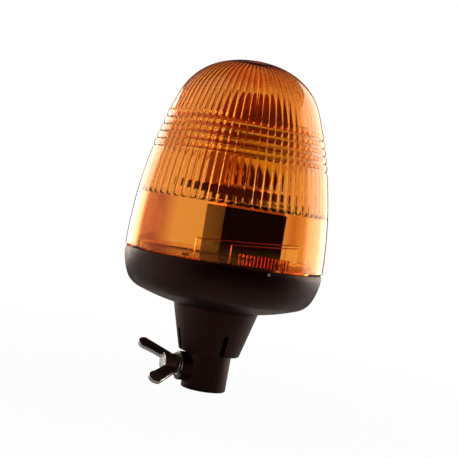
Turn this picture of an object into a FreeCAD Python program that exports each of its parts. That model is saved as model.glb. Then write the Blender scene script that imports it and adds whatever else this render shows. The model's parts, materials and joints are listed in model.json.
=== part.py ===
import FreeCAD, Part
import math
import os
from FreeCAD import Vector

# Rotating beacon with a flexible pole mount. Millimetres, +Z up.
# The origin is the centre of the socket's mouth. The clamping screw points along -X.

# Fits and clearances
running_gap = 0.05      # shafts and screws in their bores
seat_gap = 0.02         # pressed and bonded seats within one body
body_gap = 0.3          # between pieces that move against each other
hole_gap = 0.2          # screws through plain holes
past = 1.0              # how far a cut runs past what it cuts
bulge = 1 - math.sqrt(0.5)  # height of a quarter arc's middle over its end, for a radius of 1

# Socket tube and its boss
socket_r = 12.5
socket_depth = 45.0
stop_step = 3.5
chamber_h = 5.0
sleeve_wall = 2.3
sleeve_taper = 0.4
sleeve_top_wall = 3.0
sleeve_flange_reach = 4.0
mouth_round = 0.9

# Clamping screw, on -X
screw_z = 15.5
screw_r = 4.0
boss_r = 8.0
boss_drop = 2.9
boss_out = 5.5
boss_round = 0.6
insert_r = 6.2
insert_lip = 1.6
insert_flange_t = 0.7
clamp_travel = 0.4
washer_r = 7.0
washer_t = 0.6
hub_r = 5.9
hub_length = 9.0
wing_turn = 57.6
wing_t = 2.6
wing_tip_r = 4.9
wing_tip_out = 8.2
wing_tip_rise = 16.0
wing_shoulder_rise = 8.5
wing_root_inset = 0.8
wing_root_share = 0.6
wing_bow_out = 0.8
wing_bow_rise = 0.9
hub_chamfer = 0.8
screw_tip_chamfer = 0.6

# Rubber cone
cone_bottom_z = 24.3
cone_foot_wall = 4.8
cone_lip = 3.9
cone_edge_round = 1.0
slit_count = 4
slit_w = 3.2
slit_top_z = 37.5
neck_wall = 5.1
rubber_lip = 4.3
rubber_flange_t = 3.0

# Base bowl
rim_r = 65.3
bowl_depth = 31.5
bowl_wall = 2.6
mount_rise = 1.5
bowl_floor_sag = 0.6
bowl_side_r = 41.0
bowl_side_turn = 25.0
bowl_edge_r = 14.5
bowl_edge_turn = 74.0
shelf_t = 3.0
upstand_t = 2.5
upstand_h = 5.0
groove_edge = 1.1
groove_w = 1.9
groove_depth = 1.2
drain_r = 1.2
drain_inset = 19.3
drain_angle = -63.0
clamp_screw_count = 4
clamp_screw_out = 3.3
clamp_screw_angle = 45.0
clamp_screw_length = 5.0
clamp_pad = 4.1
clamp_ring_edge = 0.5
clamp_boss_r = 2.7
clamp_ring_t = 1.5
clamp_ring_gap = 1.8
small_screw_r = 1.5
small_head_r = 2.8
small_head_t = 1.6
small_head_chamfer = 0.48
thread_run = 1.2
chassis_screw_count = 3
chassis_screw_inset = 10.0
chassis_screw_length = 10.0
chassis_boss_r = 4.0
chassis_screw_angle = -25.0

# Bayonet
lug_count = 3
lug_angle = 20.0
lug_start = 50.0
lug_reach = 1.5
lug_t = 1.9
lug_root = 0.5
lug_end_gap = 1.0
lens_lug_z = 1.0

# Lens: three tangent arcs, measured up from the rim
lens_over_rim = 0.2
lens_room_gap = 2.3
lens_wall = 3.2
lens_side_r = 297.0
lens_side_turn = 20.5
lens_shoulder_r = 41.0
lens_shoulder_turn = 70.5
lens_foot_chamfer = 0.6
step_count = 6
step_first_h = 67.0
step_pitch = 4.9
step_rise = 1.2
flute_count = 66
flute_depth_share = 0.018
flute_foot_h = 36.5
flute_end_h = 2.5
flute_end_share = 0.35
flute_end_depth = 0.75
flute_top_r = 19.0
flute_stations = (0.0, 0.36, 0.66, 0.84, 0.94, 1.0)
panel_start = -131.0
panel_end = -55.0
panel_top_h = 12.6
panel_depth = 0.6
inner_panel_start = -112.0
inner_panel_top_h = 9.3
inner_panel_depth = 0.36
grip_top_h = 5.3
grip_start = -106.0
grip_pitch = 2.1
grip_w = 1.1
grip_drop = 0.3
panel_foot_h = 0.9

# Chassis and drive box
plate_gap = 0.5
plate_over_rim = 0.5
plate_t = 3.0
box_back_gap = 0.7
box_half_y = 16.7
box_h = 34.5
box_wall = 1.8
box_round = 2.0
box_inner_round = 1.2
box_top_round = 0.9
gear_plate_t = 1.6
gear_plate_edge = 5.0
gear_plate_inset = 1.0
gear_plate_screw_inset = 3.6
gear_plate_screw_clear = 6.0
gear_plate_head_r = 2.4
gear_plate_head_t = 1.1
motor_x = 22.5
motor_can_r = 9.0
motor_can_h = 24.0
motor_can_chamfer = 0.8
motor_end_t = 3.0
motor_nose_h = 2.4
motor_nose_r = 3.5
motor_shaft_r = 1.25
motor_shaft_over = 0.4
suppressor_size = (12.0, 18.0, 9.0)
suppressor_x = -28.0
suppressor_round = 1.2

# Gears
gear_module = 0.8
pinion_teeth = 12
idler_teeth = 36
ring_teeth = 72
pressure_angle = 25.0
addendum_share = 0.8
dedendum_share = 1.05
backlash = 0.12
low_gear_gap = 1.4
low_gear_t = 4.0
high_gear_gap = 1.0
high_gear_t = 5.0
idler_pin_r = 1.5
idler_head_r = 2.6
idler_head_t = 1.0
idler_seat_depth = 1.0
idler_neck_wall = 2.1

# Rotor, lamp column and lamp
post_r = 9.0
post_wall = 2.5
post_collar = 3.0
post_collar_t = 1.6
post_top_over_rotor = 4.0
bush_wall = 2.0
hub_wall = 3.0
web_t = 2.4
ring_rim_t = 2.6
retainer_t = 1.0
retainer_w = 2.1
retainer_mouth = 3.0
focus = 14.0
mirror_r = 33.5
mirror_wall = 1.2
mirror_turn = 28.0
mirror_hole_gap = 0.4
mirror_hole_depth = 10.0
mirror_seat = 1.0
light_h = 22.0
bracket_t = 1.6
bracket_r = 24.0
bracket_edge = 2.0
rib_front = 4.0
rib_root = 0.5
rib_t = 1.5
rib_y = 8.0
rib_h = 18.0
weight_r0 = 17.0
weight_r1 = 23.5
weight_h = 7.0
weight_angle = 110.0
holder_lip = 1.2
holder_t = 3.0
bulb_disc_r = 7.0
bulb_disc_t = 2.2
bulb_shell_r = 4.3
bulb_shell_h = 6.0
bulb_contact_h = 6.0
glass_r = 4.6
glass_wall = 0.8
glass_over_light = 14.0
filament_r = 0.6
filament_h = 5.0
lead_r = 0.3
lead_x = 1.6
clip_t = 0.6
clip_w = 4.0
clip_ring_inset = 0.6

# Centre contact
contact_r = 3.0
contact_collar_r = 4.4
contact_collar_t = 1.2
contact_tip_gap = 0.5
contact_travel = 3.0
contact_holder_r = 8.0
contact_floor_t = 3.2
contact_roof_t = 1.6

# Places worked out from the sizes above
sleeve_r = socket_r + sleeve_wall
sleeve_top_r = sleeve_r + sleeve_taper
chamber_r = socket_r - stop_step
boss_reach = sleeve_r + boss_out
insert_flange_r = insert_r + insert_lip
cone_bottom_r = sleeve_top_r + cone_foot_wall
neck_r = sleeve_top_r + sleeve_flange_reach + neck_wall
cone_top_r = neck_r + cone_lip
rubber_flange_r = neck_r + rubber_lip
clamp_screw_ring_r = rubber_flange_r + clamp_screw_out
clamp_ring_in_r = sleeve_top_r + clamp_ring_gap
floor_pad_r = clamp_screw_ring_r + clamp_pad
chamber_top_z = socket_depth + chamber_h
sleeve_top_z = chamber_top_z + sleeve_top_wall
bowl_floor_z = sleeve_top_z + mount_rise
rim_z = bowl_floor_z + bowl_depth
pad_z = bowl_floor_z + bowl_wall
rubber_top_z = pad_z + rubber_flange_t
shelf_z = rim_z - shelf_t
lens_r = rim_r + lens_over_rim
upstand_r = lens_r - lens_wall - lens_room_gap
upstand_z = rim_z + upstand_h
shelf_in_r = upstand_r - upstand_t
groove_in_r = rim_r - groove_edge - groove_w
drain_ring_r = rim_r - drain_inset
plate_r = shelf_in_r - plate_gap
plate_top_z = rim_z + plate_over_rim
chassis_screw_ring_r = plate_r - chassis_screw_inset
box_x0 = -post_r - box_wall - box_back_gap
box_x1 = motor_x + motor_can_r + box_wall
box_top_z = plate_top_z + box_h
gear_plate_z = box_top_z + gear_plate_t
low_gear_z = gear_plate_z + low_gear_gap
low_gear_top = low_gear_z + low_gear_t
high_gear_z = low_gear_top + high_gear_gap
high_gear_top = high_gear_z + high_gear_t
centre_distance = gear_module * (ring_teeth + pinion_teeth) / 2.0
low_distance = gear_module * (idler_teeth + pinion_teeth) / 2.0
idler_angle = math.degrees(math.acos((centre_distance ** 2 + motor_x ** 2 - low_distance ** 2)
                                     / (2 * centre_distance * motor_x)))
idler_x = centre_distance * math.cos(math.radians(idler_angle))
idler_y = centre_distance * math.sin(math.radians(idler_angle))
post_bore_r = post_r - post_wall
post_collar_r = post_r + post_collar
mirror_hole_r = post_r + retainer_w + mirror_hole_gap
holder_r = post_r + holder_lip
collar_top_z = gear_plate_z + post_collar_t
bush_z = collar_top_z + body_gap
bush_top_z = high_gear_top + bracket_t
bush_r = post_r + running_gap
hub_bore_r = bush_r + bush_wall
retainer_z = bush_top_z + body_gap
post_top_z = bush_top_z + post_top_over_rotor
light_z = post_top_z + holder_t + light_h
lens_z = rim_z + body_gap


def radians(angle):
    return math.radians(angle)


def polar(radius, angle, z=0.0):
    return Vector(radius * math.cos(radians(angle)), radius * math.sin(radians(angle)), z)


def cylinder(radius, z0, z1, x=0.0, y=0.0):
    return Part.makeCylinder(radius, z1 - z0, Vector(x, y, z0))


def ring(inner, outer, z0, z1, x=0.0, y=0.0):
    return cylinder(outer, z0, z1, x, y).cut(cylinder(inner, z0 - past, z1 + past, x, y))


def box(x0, x1, y0, y1, z0, z1):
    return Part.makeBox(x1 - x0, y1 - y0, z1 - z0, Vector(x0, y0, z0))


def along_screw(radius, start, end):
    # a cylinder on the clamping screw's axis, between two distances from the socket's axis
    return Part.makeCylinder(radius, end - start, Vector(-start, 0, screw_z), Vector(-1, 0, 0))


def outline(steps, place):
    # a closed wire: a point is a straight run to it, a pair is an arc through the first to the second
    edges = []
    last = place(steps[0])
    first = last
    for step in steps[1:]:
        if isinstance(step[0], tuple):
            middle = place(step[0])
            end = place(step[1])
            edges.append(Part.Arc(last, middle, end).toShape())
        else:
            end = place(step)
            edges.append(Part.makeLine(last, end))
        last = end
    if last.distanceToPoint(first) > 1e-6:
        edges.append(Part.makeLine(last, first))
    return Part.Wire(edges)


def turned(steps, angle=360.0):
    # revolve an outline of (radius, height) steps about the vertical axis
    wire = outline(steps, lambda point: Vector(point[0], 0, point[1]))
    return Part.Face(wire).revolve(Vector(0, 0, 0), Vector(0, 0, 1), angle)


def around(shape, count, start=0.0):
    copies = []
    for index in range(count):
        copy = shape.copy()
        copy.rotate(Vector(0, 0, 0), Vector(0, 0, 1), start + index * 360.0 / count)
        copies.append(copy)
    return copies


def sector(inner, outer, z0, z1, start, end):
    steps = [(inner, z0), (outer, z0), (outer, z1), (inner, z1)]
    solid = turned(steps, end - start)
    solid.rotate(Vector(0, 0, 0), Vector(0, 0, 1), start)
    return solid


def screws(ring_r, count, start, seat_z, length):
    # pan-head screws, head on seat_z
    solids = []
    for angle in [start + index * 360.0 / count for index in range(count)]:
        spot = polar(ring_r, angle)
        shank = cylinder(small_screw_r - running_gap, seat_z - length, seat_z, spot.x, spot.y)
        head = cylinder(small_head_r, seat_z, seat_z + small_head_t, spot.x, spot.y)
        head = head.makeChamfer(small_head_chamfer, [head.Edges[0]])
        solids.append(shank.fuse(head).removeSplitter())
    return Part.makeCompound(solids)


# ---- socket, rubber cone and clamping screw

def sleeve_outer_r(z):
    return sleeve_r + sleeve_taper * min(z, cone_bottom_z) / cone_bottom_z


def pole_sleeve():
    flange_r = sleeve_top_r + sleeve_flange_reach
    steps = [(sleeve_r - mouth_round, 0),
             ((sleeve_r - mouth_round * bulge, mouth_round * bulge), (sleeve_r, mouth_round)),
             (sleeve_top_r, cone_bottom_z),
             (sleeve_top_r, chamber_top_z),
             (flange_r, chamber_top_z),
             (flange_r, sleeve_top_z),
             (contact_r + 2 * body_gap, sleeve_top_z),
             (contact_r + 2 * body_gap, chamber_top_z),
             (chamber_r, chamber_top_z),
             (chamber_r, socket_depth),
             (socket_r, socket_depth),
             (socket_r, mouth_round),
             (socket_r + mouth_round / 2, 0)]
    tube = turned(steps)
    boss = along_screw(boss_r, 0, boss_reach)
    low_boss = boss.copy()
    low_boss.translate(Vector(0, 0, -boss_drop))
    waist = box(-boss_reach, 0, -boss_r, boss_r, screw_z - boss_drop, screw_z)
    boss = boss.fuse([low_boss, waist]).removeSplitter()
    face_edges = [edge for edge in boss.Edges if edge.BoundBox.XMax < -boss_reach + seat_gap]
    boss = boss.makeFillet(boss_round, face_edges)
    boss = boss.cut(cylinder(socket_r + sleeve_wall / 2, -boss_r, socket_depth))
    body = tube.fuse(boss)
    body = body.cut(along_screw(insert_r + seat_gap, 0, boss_reach + past))
    return body.removeSplitter()


def threaded_insert():
    barrel = along_screw(insert_r, 0, boss_reach)
    flange = along_screw(insert_flange_r, boss_reach, boss_reach + insert_flange_t)
    solid = barrel.fuse(flange)
    solid = solid.cut(along_screw(screw_r + running_gap, -past, boss_reach + insert_flange_t + past))
    return solid.cut(cylinder(socket_r + hole_gap, 0, socket_depth)).removeSplitter()


def washer_start():
    return boss_reach + insert_flange_t + clamp_travel + body_gap


def screw_washer():
    start = washer_start()
    disc = along_screw(washer_r, start, start + washer_t)
    return disc.cut(along_screw(screw_r + body_gap, start - past, start + washer_t + past))


def wing(side):
    # one wing in the plane through the screw's axis: a tip circle joined to the hub by two flanks
    hub0 = washer_start() + washer_t + body_gap
    hub1 = hub0 + hub_length
    tip_a = hub1 + wing_tip_out
    rise = wing_tip_rise
    lean = math.atan2(rise - wing_shoulder_rise, tip_a - hub0)
    low = (tip_a - wing_tip_r * math.sin(lean), rise + wing_tip_r * math.cos(lean))
    far = (tip_a + wing_tip_r * math.cos(lean), rise + wing_tip_r * math.sin(lean))
    top = (tip_a + wing_tip_r * math.sin(lean), rise - wing_tip_r * math.cos(lean))
    root_rise = hub_r * wing_root_share
    root0 = (hub0 + wing_root_inset, root_rise)
    root1 = (hub1 - wing_root_inset, root_rise)
    bow = ((root1[0] + top[0]) / 2 + wing_bow_out, (root1[1] + top[1]) / 2 + wing_bow_rise)
    shoulder = (root0[0], wing_shoulder_rise)
    steps = [root0, shoulder, low, (far, top), (bow, root1)]

    def place(point):
        return Vector(-point[0], -wing_t / 2, screw_z + side * point[1])
    return Part.Face(outline(steps, place)).extrude(Vector(0, wing_t, 0))


def wing_screw():
    start = washer_start() + washer_t + body_gap
    end = start + hub_length
    hub = along_screw(hub_r, start, end)
    hub = hub.makeChamfer(hub_chamfer, [edge for edge in hub.Edges if edge.BoundBox.XMax < -end + seat_gap])
    solid = hub.fuse([wing(1), wing(-1)])
    solid = solid.removeSplitter()
    solid.rotate(Vector(0, 0, screw_z), Vector(1, 0, 0), -wing_turn)
    tip = socket_r + body_gap
    shank = along_screw(screw_r, tip, start)
    tip_edges = [edge for edge in shank.Edges if edge.BoundBox.XMin > -tip - seat_gap]
    shank = shank.makeChamfer(screw_tip_chamfer, tip_edges)
    return solid.fuse(shank).removeSplitter()


def rubber_mount():
    slope = (cone_top_r - cone_bottom_r) / (bowl_floor_z - cone_bottom_z)
    inner = sleeve_top_r + seat_gap
    flange_r = inner + sleeve_flange_reach
    steps = [(inner, cone_bottom_z),
             (cone_bottom_r - cone_edge_round, cone_bottom_z),
             ((cone_bottom_r - cone_edge_round * bulge, cone_bottom_z + cone_edge_round * bulge),
              (cone_bottom_r + slope * cone_edge_round, cone_bottom_z + cone_edge_round)),
             (cone_top_r, bowl_floor_z - seat_gap),
             (neck_r, bowl_floor_z - seat_gap),
             (neck_r, pad_z + seat_gap),
             (rubber_flange_r, pad_z + seat_gap),
             (rubber_flange_r, rubber_top_z),
             (inner, rubber_top_z),
             (inner, sleeve_top_z + seat_gap),
             (flange_r, sleeve_top_z + seat_gap),
             (flange_r, chamber_top_z - seat_gap),
             (inner, chamber_top_z - seat_gap)]
    cone = turned(steps)
    slit = box(inner - past, cone_top_r + past, -slit_w / 2, slit_w / 2, cone_bottom_z - past, slit_top_z)
    round_top = Part.makeCylinder(slit_w / 2, cone_top_r, Vector(inner - past, 0, slit_top_z), Vector(1, 0, 0))
    return cone.cut(around(slit.fuse(round_top), slit_count)).removeSplitter()


def contact_holder():
    floor_z = sleeve_top_z + contact_floor_t
    room_z = floor_z + contact_travel + contact_collar_t + 2 * body_gap
    steps = [(contact_r + running_gap, sleeve_top_z + seat_gap),
             (contact_holder_r, sleeve_top_z + seat_gap),
             (contact_holder_r, room_z + contact_roof_t),
             (0, room_z + contact_roof_t),
             (0, room_z),
             (contact_collar_r + body_gap, room_z),
             (contact_collar_r + body_gap, floor_z),
             (contact_r + running_gap, floor_z)]
    return turned(steps)


def contact_plunger():
    floor_z = sleeve_top_z + contact_floor_t
    tip_z = socket_depth + contact_tip_gap
    collar_z = floor_z + body_gap
    steps = [(0, tip_z),
             ((contact_r * (1 - bulge), tip_z + contact_r * bulge), (contact_r, tip_z + contact_r)),
             (contact_r, collar_z),
             (contact_collar_r, collar_z),
             (contact_collar_r, collar_z + contact_collar_t),
             (0, collar_z + contact_collar_t)]
    return turned(steps)


# ---- base bowl and chassis

def bowl_points(inset):
    # side arc, edge arc and a long floor arc, all tangent except at the floor's inner end
    side = bowl_side_r - inset
    edge = bowl_edge_r - inset
    turn1 = radians(bowl_side_turn)
    turn2 = radians(bowl_edge_turn)
    centre_x = rim_r - bowl_side_r
    edge_x = centre_x + (bowl_side_r - bowl_edge_r) * math.cos(turn1)
    edge_z = rim_z - (bowl_side_r - bowl_edge_r) * math.sin(turn1)

    def side_at(turn):
        return (centre_x + side * math.cos(turn), rim_z - side * math.sin(turn))

    def edge_at(turn):
        return (edge_x + edge * math.cos(turn), edge_z - edge * math.sin(turn))
    return (side_at(0), side_at(turn1 / 2), side_at(turn1), edge_at((turn1 + turn2) / 2), edge_at(turn2))


def bowl_skin():
    # steps of the bowl's outside, from the rim down to the rubber cone
    rim, side_mid, side_end, edge_mid, edge_end = bowl_points(0)
    floor_mid = ((edge_end[0] + cone_top_r) / 2, (edge_end[1] + bowl_floor_z) / 2 - bowl_floor_sag)
    return [rim, (side_mid, side_end), (edge_mid, edge_end), (floor_mid, (cone_top_r, bowl_floor_z))]


def base_bowl():
    in_rim, in_side_mid, in_side_end, in_edge_mid, in_edge_end = bowl_points(bowl_wall)
    hole_r = neck_r + seat_gap
    steps = bowl_skin() + [(hole_r, bowl_floor_z), (hole_r, pad_z), (floor_pad_r, pad_z),
                           in_edge_end, (in_edge_mid, in_side_end), (in_side_mid, in_rim)]
    return turned(steps)


def base_housing():
    bowl = base_bowl()
    shelf = turned([(shelf_in_r, shelf_z), (rim_r - bowl_wall / 2, shelf_z), (rim_r - bowl_wall / 2, rim_z),
                    (upstand_r, rim_z), (upstand_r, upstand_z), (shelf_in_r, upstand_z)])
    lug_z = lens_z + lens_lug_z + lug_t + body_gap
    lug = sector(upstand_r - lug_root, upstand_r + lug_reach, lug_z, upstand_z, -lug_angle / 2, lug_angle / 2)
    filled = turned(bowl_skin() + [(0, bowl_floor_z), (0, rim_z)])
    chassis_boss = cylinder(chassis_boss_r, bowl_floor_z, plate_top_z - plate_t, chassis_screw_ring_r)
    chassis_boss = chassis_boss.common(filled)
    clamp_boss = cylinder(clamp_boss_r, pad_z - bowl_wall / 2, rubber_top_z, clamp_screw_ring_r)
    extras = around(lug, lug_count, lug_start)
    extras += around(chassis_boss, chassis_screw_count, chassis_screw_angle)
    extras += around(clamp_boss, clamp_screw_count, clamp_screw_angle)
    body = bowl.fuse([shelf] + extras)
    groove = ring(groove_in_r, groove_in_r + groove_w, rim_z - groove_depth, rim_z + past)
    chassis_hole = cylinder(small_screw_r, plate_top_z - chassis_screw_length - thread_run, rim_z,
                            chassis_screw_ring_r)
    clamp_hole = cylinder(small_screw_r, rubber_top_z + clamp_ring_t - clamp_screw_length - thread_run / 2,
                          rubber_top_z + past, clamp_screw_ring_r)
    drain = cylinder(drain_r, 0, shelf_z, drain_ring_r)
    cuts = [groove]
    cuts += around(chassis_hole, chassis_screw_count, chassis_screw_angle)
    cuts += around(clamp_hole, clamp_screw_count, clamp_screw_angle)
    cuts += around(drain, 2, drain_angle)
    return body.cut(cuts).removeSplitter()


def mount_clamp_ring():
    plate = ring(clamp_ring_in_r, clamp_screw_ring_r + clamp_boss_r + clamp_ring_edge,
                 rubber_top_z, rubber_top_z + clamp_ring_t)
    hole = cylinder(small_screw_r + hole_gap, 0, rim_z, clamp_screw_ring_r)
    return plate.cut(around(hole, clamp_screw_count, clamp_screw_angle))


def seal_ring():
    return ring(groove_in_r + seat_gap, groove_in_r + groove_w - seat_gap, rim_z - groove_depth, rim_z)


def chassis_plate():
    disc = cylinder(plate_r, plate_top_z - plate_t, plate_top_z)
    hole = cylinder(small_screw_r + hole_gap, 0, plate_top_z + past, chassis_screw_ring_r)
    lead_hole = cylinder(post_bore_r, 0, plate_top_z + past)
    return disc.cut([lead_hole] + around(hole, chassis_screw_count, chassis_screw_angle))


def suppressor():
    length, width, height = suppressor_size
    top = plate_top_z - plate_t
    can = box(suppressor_x - length / 2, suppressor_x + length / 2, -width / 2, width / 2, top - height, top)
    return can.makeFillet(suppressor_round, [edge for edge in can.Edges if edge.BoundBox.ZLength > height / 2])


def rounded_box(x0, x1, half_y, z0, z1, radius):
    block = box(x0, x1, -half_y, half_y, z0, z1)
    return block.makeFillet(radius, [edge for edge in block.Edges if edge.BoundBox.ZLength > (z1 - z0) / 2])


def drive_housing():
    shell = rounded_box(box_x0, box_x1, box_half_y, plate_top_z, box_top_z, box_round)
    room = rounded_box(box_x0 + box_wall, box_x1 - box_wall, box_half_y - box_wall,
                       plate_top_z - past, box_top_z - box_wall, box_inner_round)
    top_edges = [edge for edge in shell.Edges if edge.BoundBox.ZMin > box_top_z - seat_gap]
    shell = shell.makeFillet(box_top_round, top_edges)
    post_hole = cylinder(post_r + hole_gap, plate_top_z, box_top_z + past)
    nose_hole = cylinder(motor_nose_r + hole_gap, plate_top_z, box_top_z + past, motor_x)
    screw_holes = [cylinder(small_screw_r, box_top_z - box_wall - past, box_top_z + past, x, y)
                   for x, y in gear_plate_holes()]
    return shell.cut([room, post_hole, nose_hole] + screw_holes)


def gear_plate_holes():
    xs = (box_x0 + gear_plate_screw_inset, box_x1 - gear_plate_screw_inset)
    ys = (-box_half_y + gear_plate_screw_inset, box_half_y - gear_plate_screw_inset)
    return [(x, y) for x in xs for y in ys if math.hypot(x - idler_x, y - idler_y) > gear_plate_screw_clear]


def gear_plate():
    inset = gear_plate_inset
    main = rounded_box(box_x0 + inset, box_x1 - inset, box_half_y - inset, box_top_z, gear_plate_z, box_round)
    ear = cylinder(gear_plate_edge, box_top_z, gear_plate_z, idler_x, idler_y)
    neck = box(idler_x - gear_plate_edge, idler_x + gear_plate_edge, 0, idler_y, box_top_z, gear_plate_z)
    plate = main.fuse([ear, neck])
    cuts = [cylinder(post_r + seat_gap, 0, post_top_z),
            cylinder(motor_nose_r + hole_gap, 0, post_top_z, motor_x),
            cylinder(idler_pin_r + seat_gap, 0, post_top_z, idler_x, idler_y)]
    cuts += [cylinder(small_screw_r + hole_gap, 0, post_top_z, x, y) for x, y in gear_plate_holes()]
    return plate.cut(cuts).removeSplitter()


def gear_plate_screws():
    solids = []
    for x, y in gear_plate_holes():
        head = cylinder(gear_plate_head_r, gear_plate_z, gear_plate_z + gear_plate_head_t, x, y)
        shank = cylinder(small_screw_r - running_gap, box_top_z - box_wall, gear_plate_z, x, y)
        solids.append(head.fuse(shank).removeSplitter())
    return Part.makeCompound(solids)


# ---- motor and gears

def involute_point(base_r, roll, turn):
    # a point of the involute of a circle, at roll angle "roll", turned by "turn"
    x = base_r * (math.cos(roll) + roll * math.sin(roll))
    y = base_r * (math.sin(roll) - roll * math.cos(roll))
    return (x * math.cos(turn) - y * math.sin(turn), x * math.sin(turn) + y * math.cos(turn))


def gear_face(teeth, phase):
    # outline of a spur gear, with a tooth centred on the angle "phase" (degrees)
    pitch_r = gear_module * teeth / 2.0
    base_r = pitch_r * math.cos(radians(pressure_angle))
    tip_r = pitch_r + gear_module * addendum_share
    root_r = pitch_r - gear_module * dedendum_share
    pitch_roll = math.sqrt((pitch_r / base_r) ** 2 - 1)
    tip_roll = math.sqrt((tip_r / base_r) ** 2 - 1)
    start_r = max(base_r, root_r)
    start_roll = math.sqrt(max((start_r / base_r) ** 2 - 1, 0))
    polar_at_pitch = pitch_roll - math.atan(pitch_roll)
    half = (math.pi * gear_module / 2 - backlash) / (2 * pitch_r) + polar_at_pitch
    steps = []
    for index in range(teeth):
        middle = radians(phase + index * 360.0 / teeth)
        right = middle - half
        left = middle + half
        foot = involute_point(base_r, start_roll, right)
        foot_angle = math.atan2(foot[1], foot[0])
        root0 = (root_r * math.cos(foot_angle), root_r * math.sin(foot_angle))
        right_mid = involute_point(base_r, (start_roll + tip_roll) / 2, right)
        right_tip = involute_point(base_r, tip_roll, right)
        left_tip = mirrored(right_tip, middle)
        left_mid = mirrored(right_mid, middle)
        left_foot = mirrored(foot, middle)
        root1 = mirrored(root0, middle)
        tip_mid = (tip_r * math.cos(middle), tip_r * math.sin(middle))
        if not steps:
            steps.append(root0)
        else:
            gap = middle - math.pi / teeth
            steps.append(((root_r * math.cos(gap), root_r * math.sin(gap)), root0))
        if start_r > root_r + 1e-6:
            steps.append(foot)
        steps.append((right_mid, right_tip))
        steps.append((tip_mid, left_tip))
        steps.append((left_mid, left_foot))
        if start_r > root_r + 1e-6:
            steps.append(root1)
    gap = radians(phase) - math.pi / teeth
    steps.append(((root_r * math.cos(gap), root_r * math.sin(gap)), steps[0]))
    return Part.Face(outline(steps, lambda point: Vector(point[0], point[1], 0)))


def mirrored(point, angle):
    # mirror a point in the line through the origin at "angle"
    c = math.cos(2 * angle)
    s = math.sin(2 * angle)
    return (point[0] * c + point[1] * s, point[0] * s - point[1] * c)


def gear(teeth, phase, z0, height, x=0.0, y=0.0):
    solid = gear_face(teeth, phase).extrude(Vector(0, 0, height))
    solid.translate(Vector(x, y, z0))
    return solid


def meshing_phase(driver_teeth, driver_phase, follower_teeth, line_angle):
    # phase that puts a gap of the follower on the driver's tooth, across the line of centres
    offset = (line_angle - driver_phase) * driver_teeth
    return line_angle + 180.0 + offset / follower_teeth + 180.0 / follower_teeth


def idler_low_phase():
    line = math.degrees(math.atan2(idler_y, idler_x - motor_x))
    return meshing_phase(pinion_teeth, 0.0, idler_teeth, line)


def idler_high_phase():
    return meshing_phase(ring_teeth, 0.0, pinion_teeth, idler_angle)


def motor_can():
    top = box_top_z - box_wall
    can = cylinder(motor_can_r, top - motor_can_h, top - seat_gap, motor_x)
    can = can.makeChamfer(motor_can_chamfer, [can.Edges[0], can.Edges[2]])
    nose = cylinder(motor_nose_r, top - past, top + motor_nose_h, motor_x)
    bore = cylinder(motor_shaft_r + running_gap, top - motor_can_h + motor_end_t, low_gear_z, motor_x)
    return can.fuse(nose).cut(bore).removeSplitter()


def motor_shaft():
    bottom = box_top_z - box_wall - motor_can_h + motor_end_t + body_gap
    return cylinder(motor_shaft_r, bottom, low_gear_top + motor_shaft_over, motor_x)


def motor_pinion():
    solid = gear(pinion_teeth, 0.0, low_gear_z, low_gear_t, motor_x)
    return solid.cut(cylinder(motor_shaft_r + seat_gap, 0, post_top_z, motor_x))


def idler_pin():
    head_z = high_gear_top + body_gap
    pin = cylinder(idler_pin_r, box_top_z - idler_seat_depth, head_z + idler_head_t, idler_x, idler_y)
    head = cylinder(idler_head_r, head_z, head_z + idler_head_t, idler_x, idler_y)
    collar = cylinder(idler_head_r, gear_plate_z, low_gear_z - body_gap, idler_x, idler_y)
    return pin.fuse([head, collar]).removeSplitter()


def idler_gear():
    solid = gear(idler_teeth, idler_low_phase(), low_gear_z, low_gear_t, idler_x, idler_y)
    return solid.cut(cylinder(idler_pin_r + running_gap, 0, post_top_z, idler_x, idler_y))


def idler_pinion():
    solid = gear(pinion_teeth, idler_high_phase(), high_gear_z, high_gear_t, idler_x, idler_y)
    neck = cylinder(idler_pin_r + idler_neck_wall, low_gear_top, high_gear_z, idler_x, idler_y)
    solid = solid.fuse(neck)
    return solid.cut(cylinder(idler_pin_r + running_gap, 0, post_top_z, idler_x, idler_y)).removeSplitter()


def ring_gear():
    teeth = gear(ring_teeth, 0.0, high_gear_z, high_gear_t)
    rim_in = gear_module * ring_teeth / 2 - gear_module * dedendum_share - ring_rim_t
    hub_out = hub_bore_r + hub_wall
    recess = ring(hub_out, rim_in, high_gear_z + web_t, high_gear_top + past)
    hub = ring(hub_bore_r + seat_gap, hub_out, bush_z, high_gear_z + web_t)
    solid = teeth.cut([recess, cylinder(hub_bore_r + seat_gap, 0, post_top_z)])
    return solid.fuse(hub).removeSplitter()


# ---- rotor, lamp column and lamp

def rotor_bush():
    return ring(bush_r, hub_bore_r, bush_z, bush_top_z)


def lamp_post():
    steps = [(post_bore_r, plate_top_z), (post_r, plate_top_z), (post_r, gear_plate_z),
             (post_collar_r, gear_plate_z), (post_collar_r, collar_top_z), (post_r, collar_top_z),
             (post_r, post_top_z), (post_bore_r, post_top_z)]
    return turned(steps)


def retaining_ring():
    clip = ring(post_r + seat_gap, post_r + retainer_w, retainer_z, retainer_z + retainer_t)
    half = retainer_mouth / 2
    mouth = box(0, post_r + retainer_w + past, -half, half, retainer_z - past, retainer_z + retainer_t + past)
    return clip.cut(mouth)


def paraboloid(inset, reach):
    # solid of revolution about the beam axis (+X), focus on the lamp's filament
    vertex = -focus - inset
    height = math.sqrt(4 * focus * (reach - vertex))
    start = Vector(vertex, 0, light_z)
    end = Vector(reach, 0, light_z + height)
    foot = Vector(reach, 0, light_z)
    parabola = Part.BezierCurve()
    parabola.setPoles([start, Vector(vertex, 0, light_z + height / 2), end])
    wire = Part.Wire([parabola.toShape(), Part.makeLine(end, foot), Part.makeLine(foot, start)])
    return Part.Face(wire).revolve(Vector(0, 0, light_z), Vector(1, 0, 0), 360.0)


def aperture_x():
    return mirror_r ** 2 / (4 * focus) - focus


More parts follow.
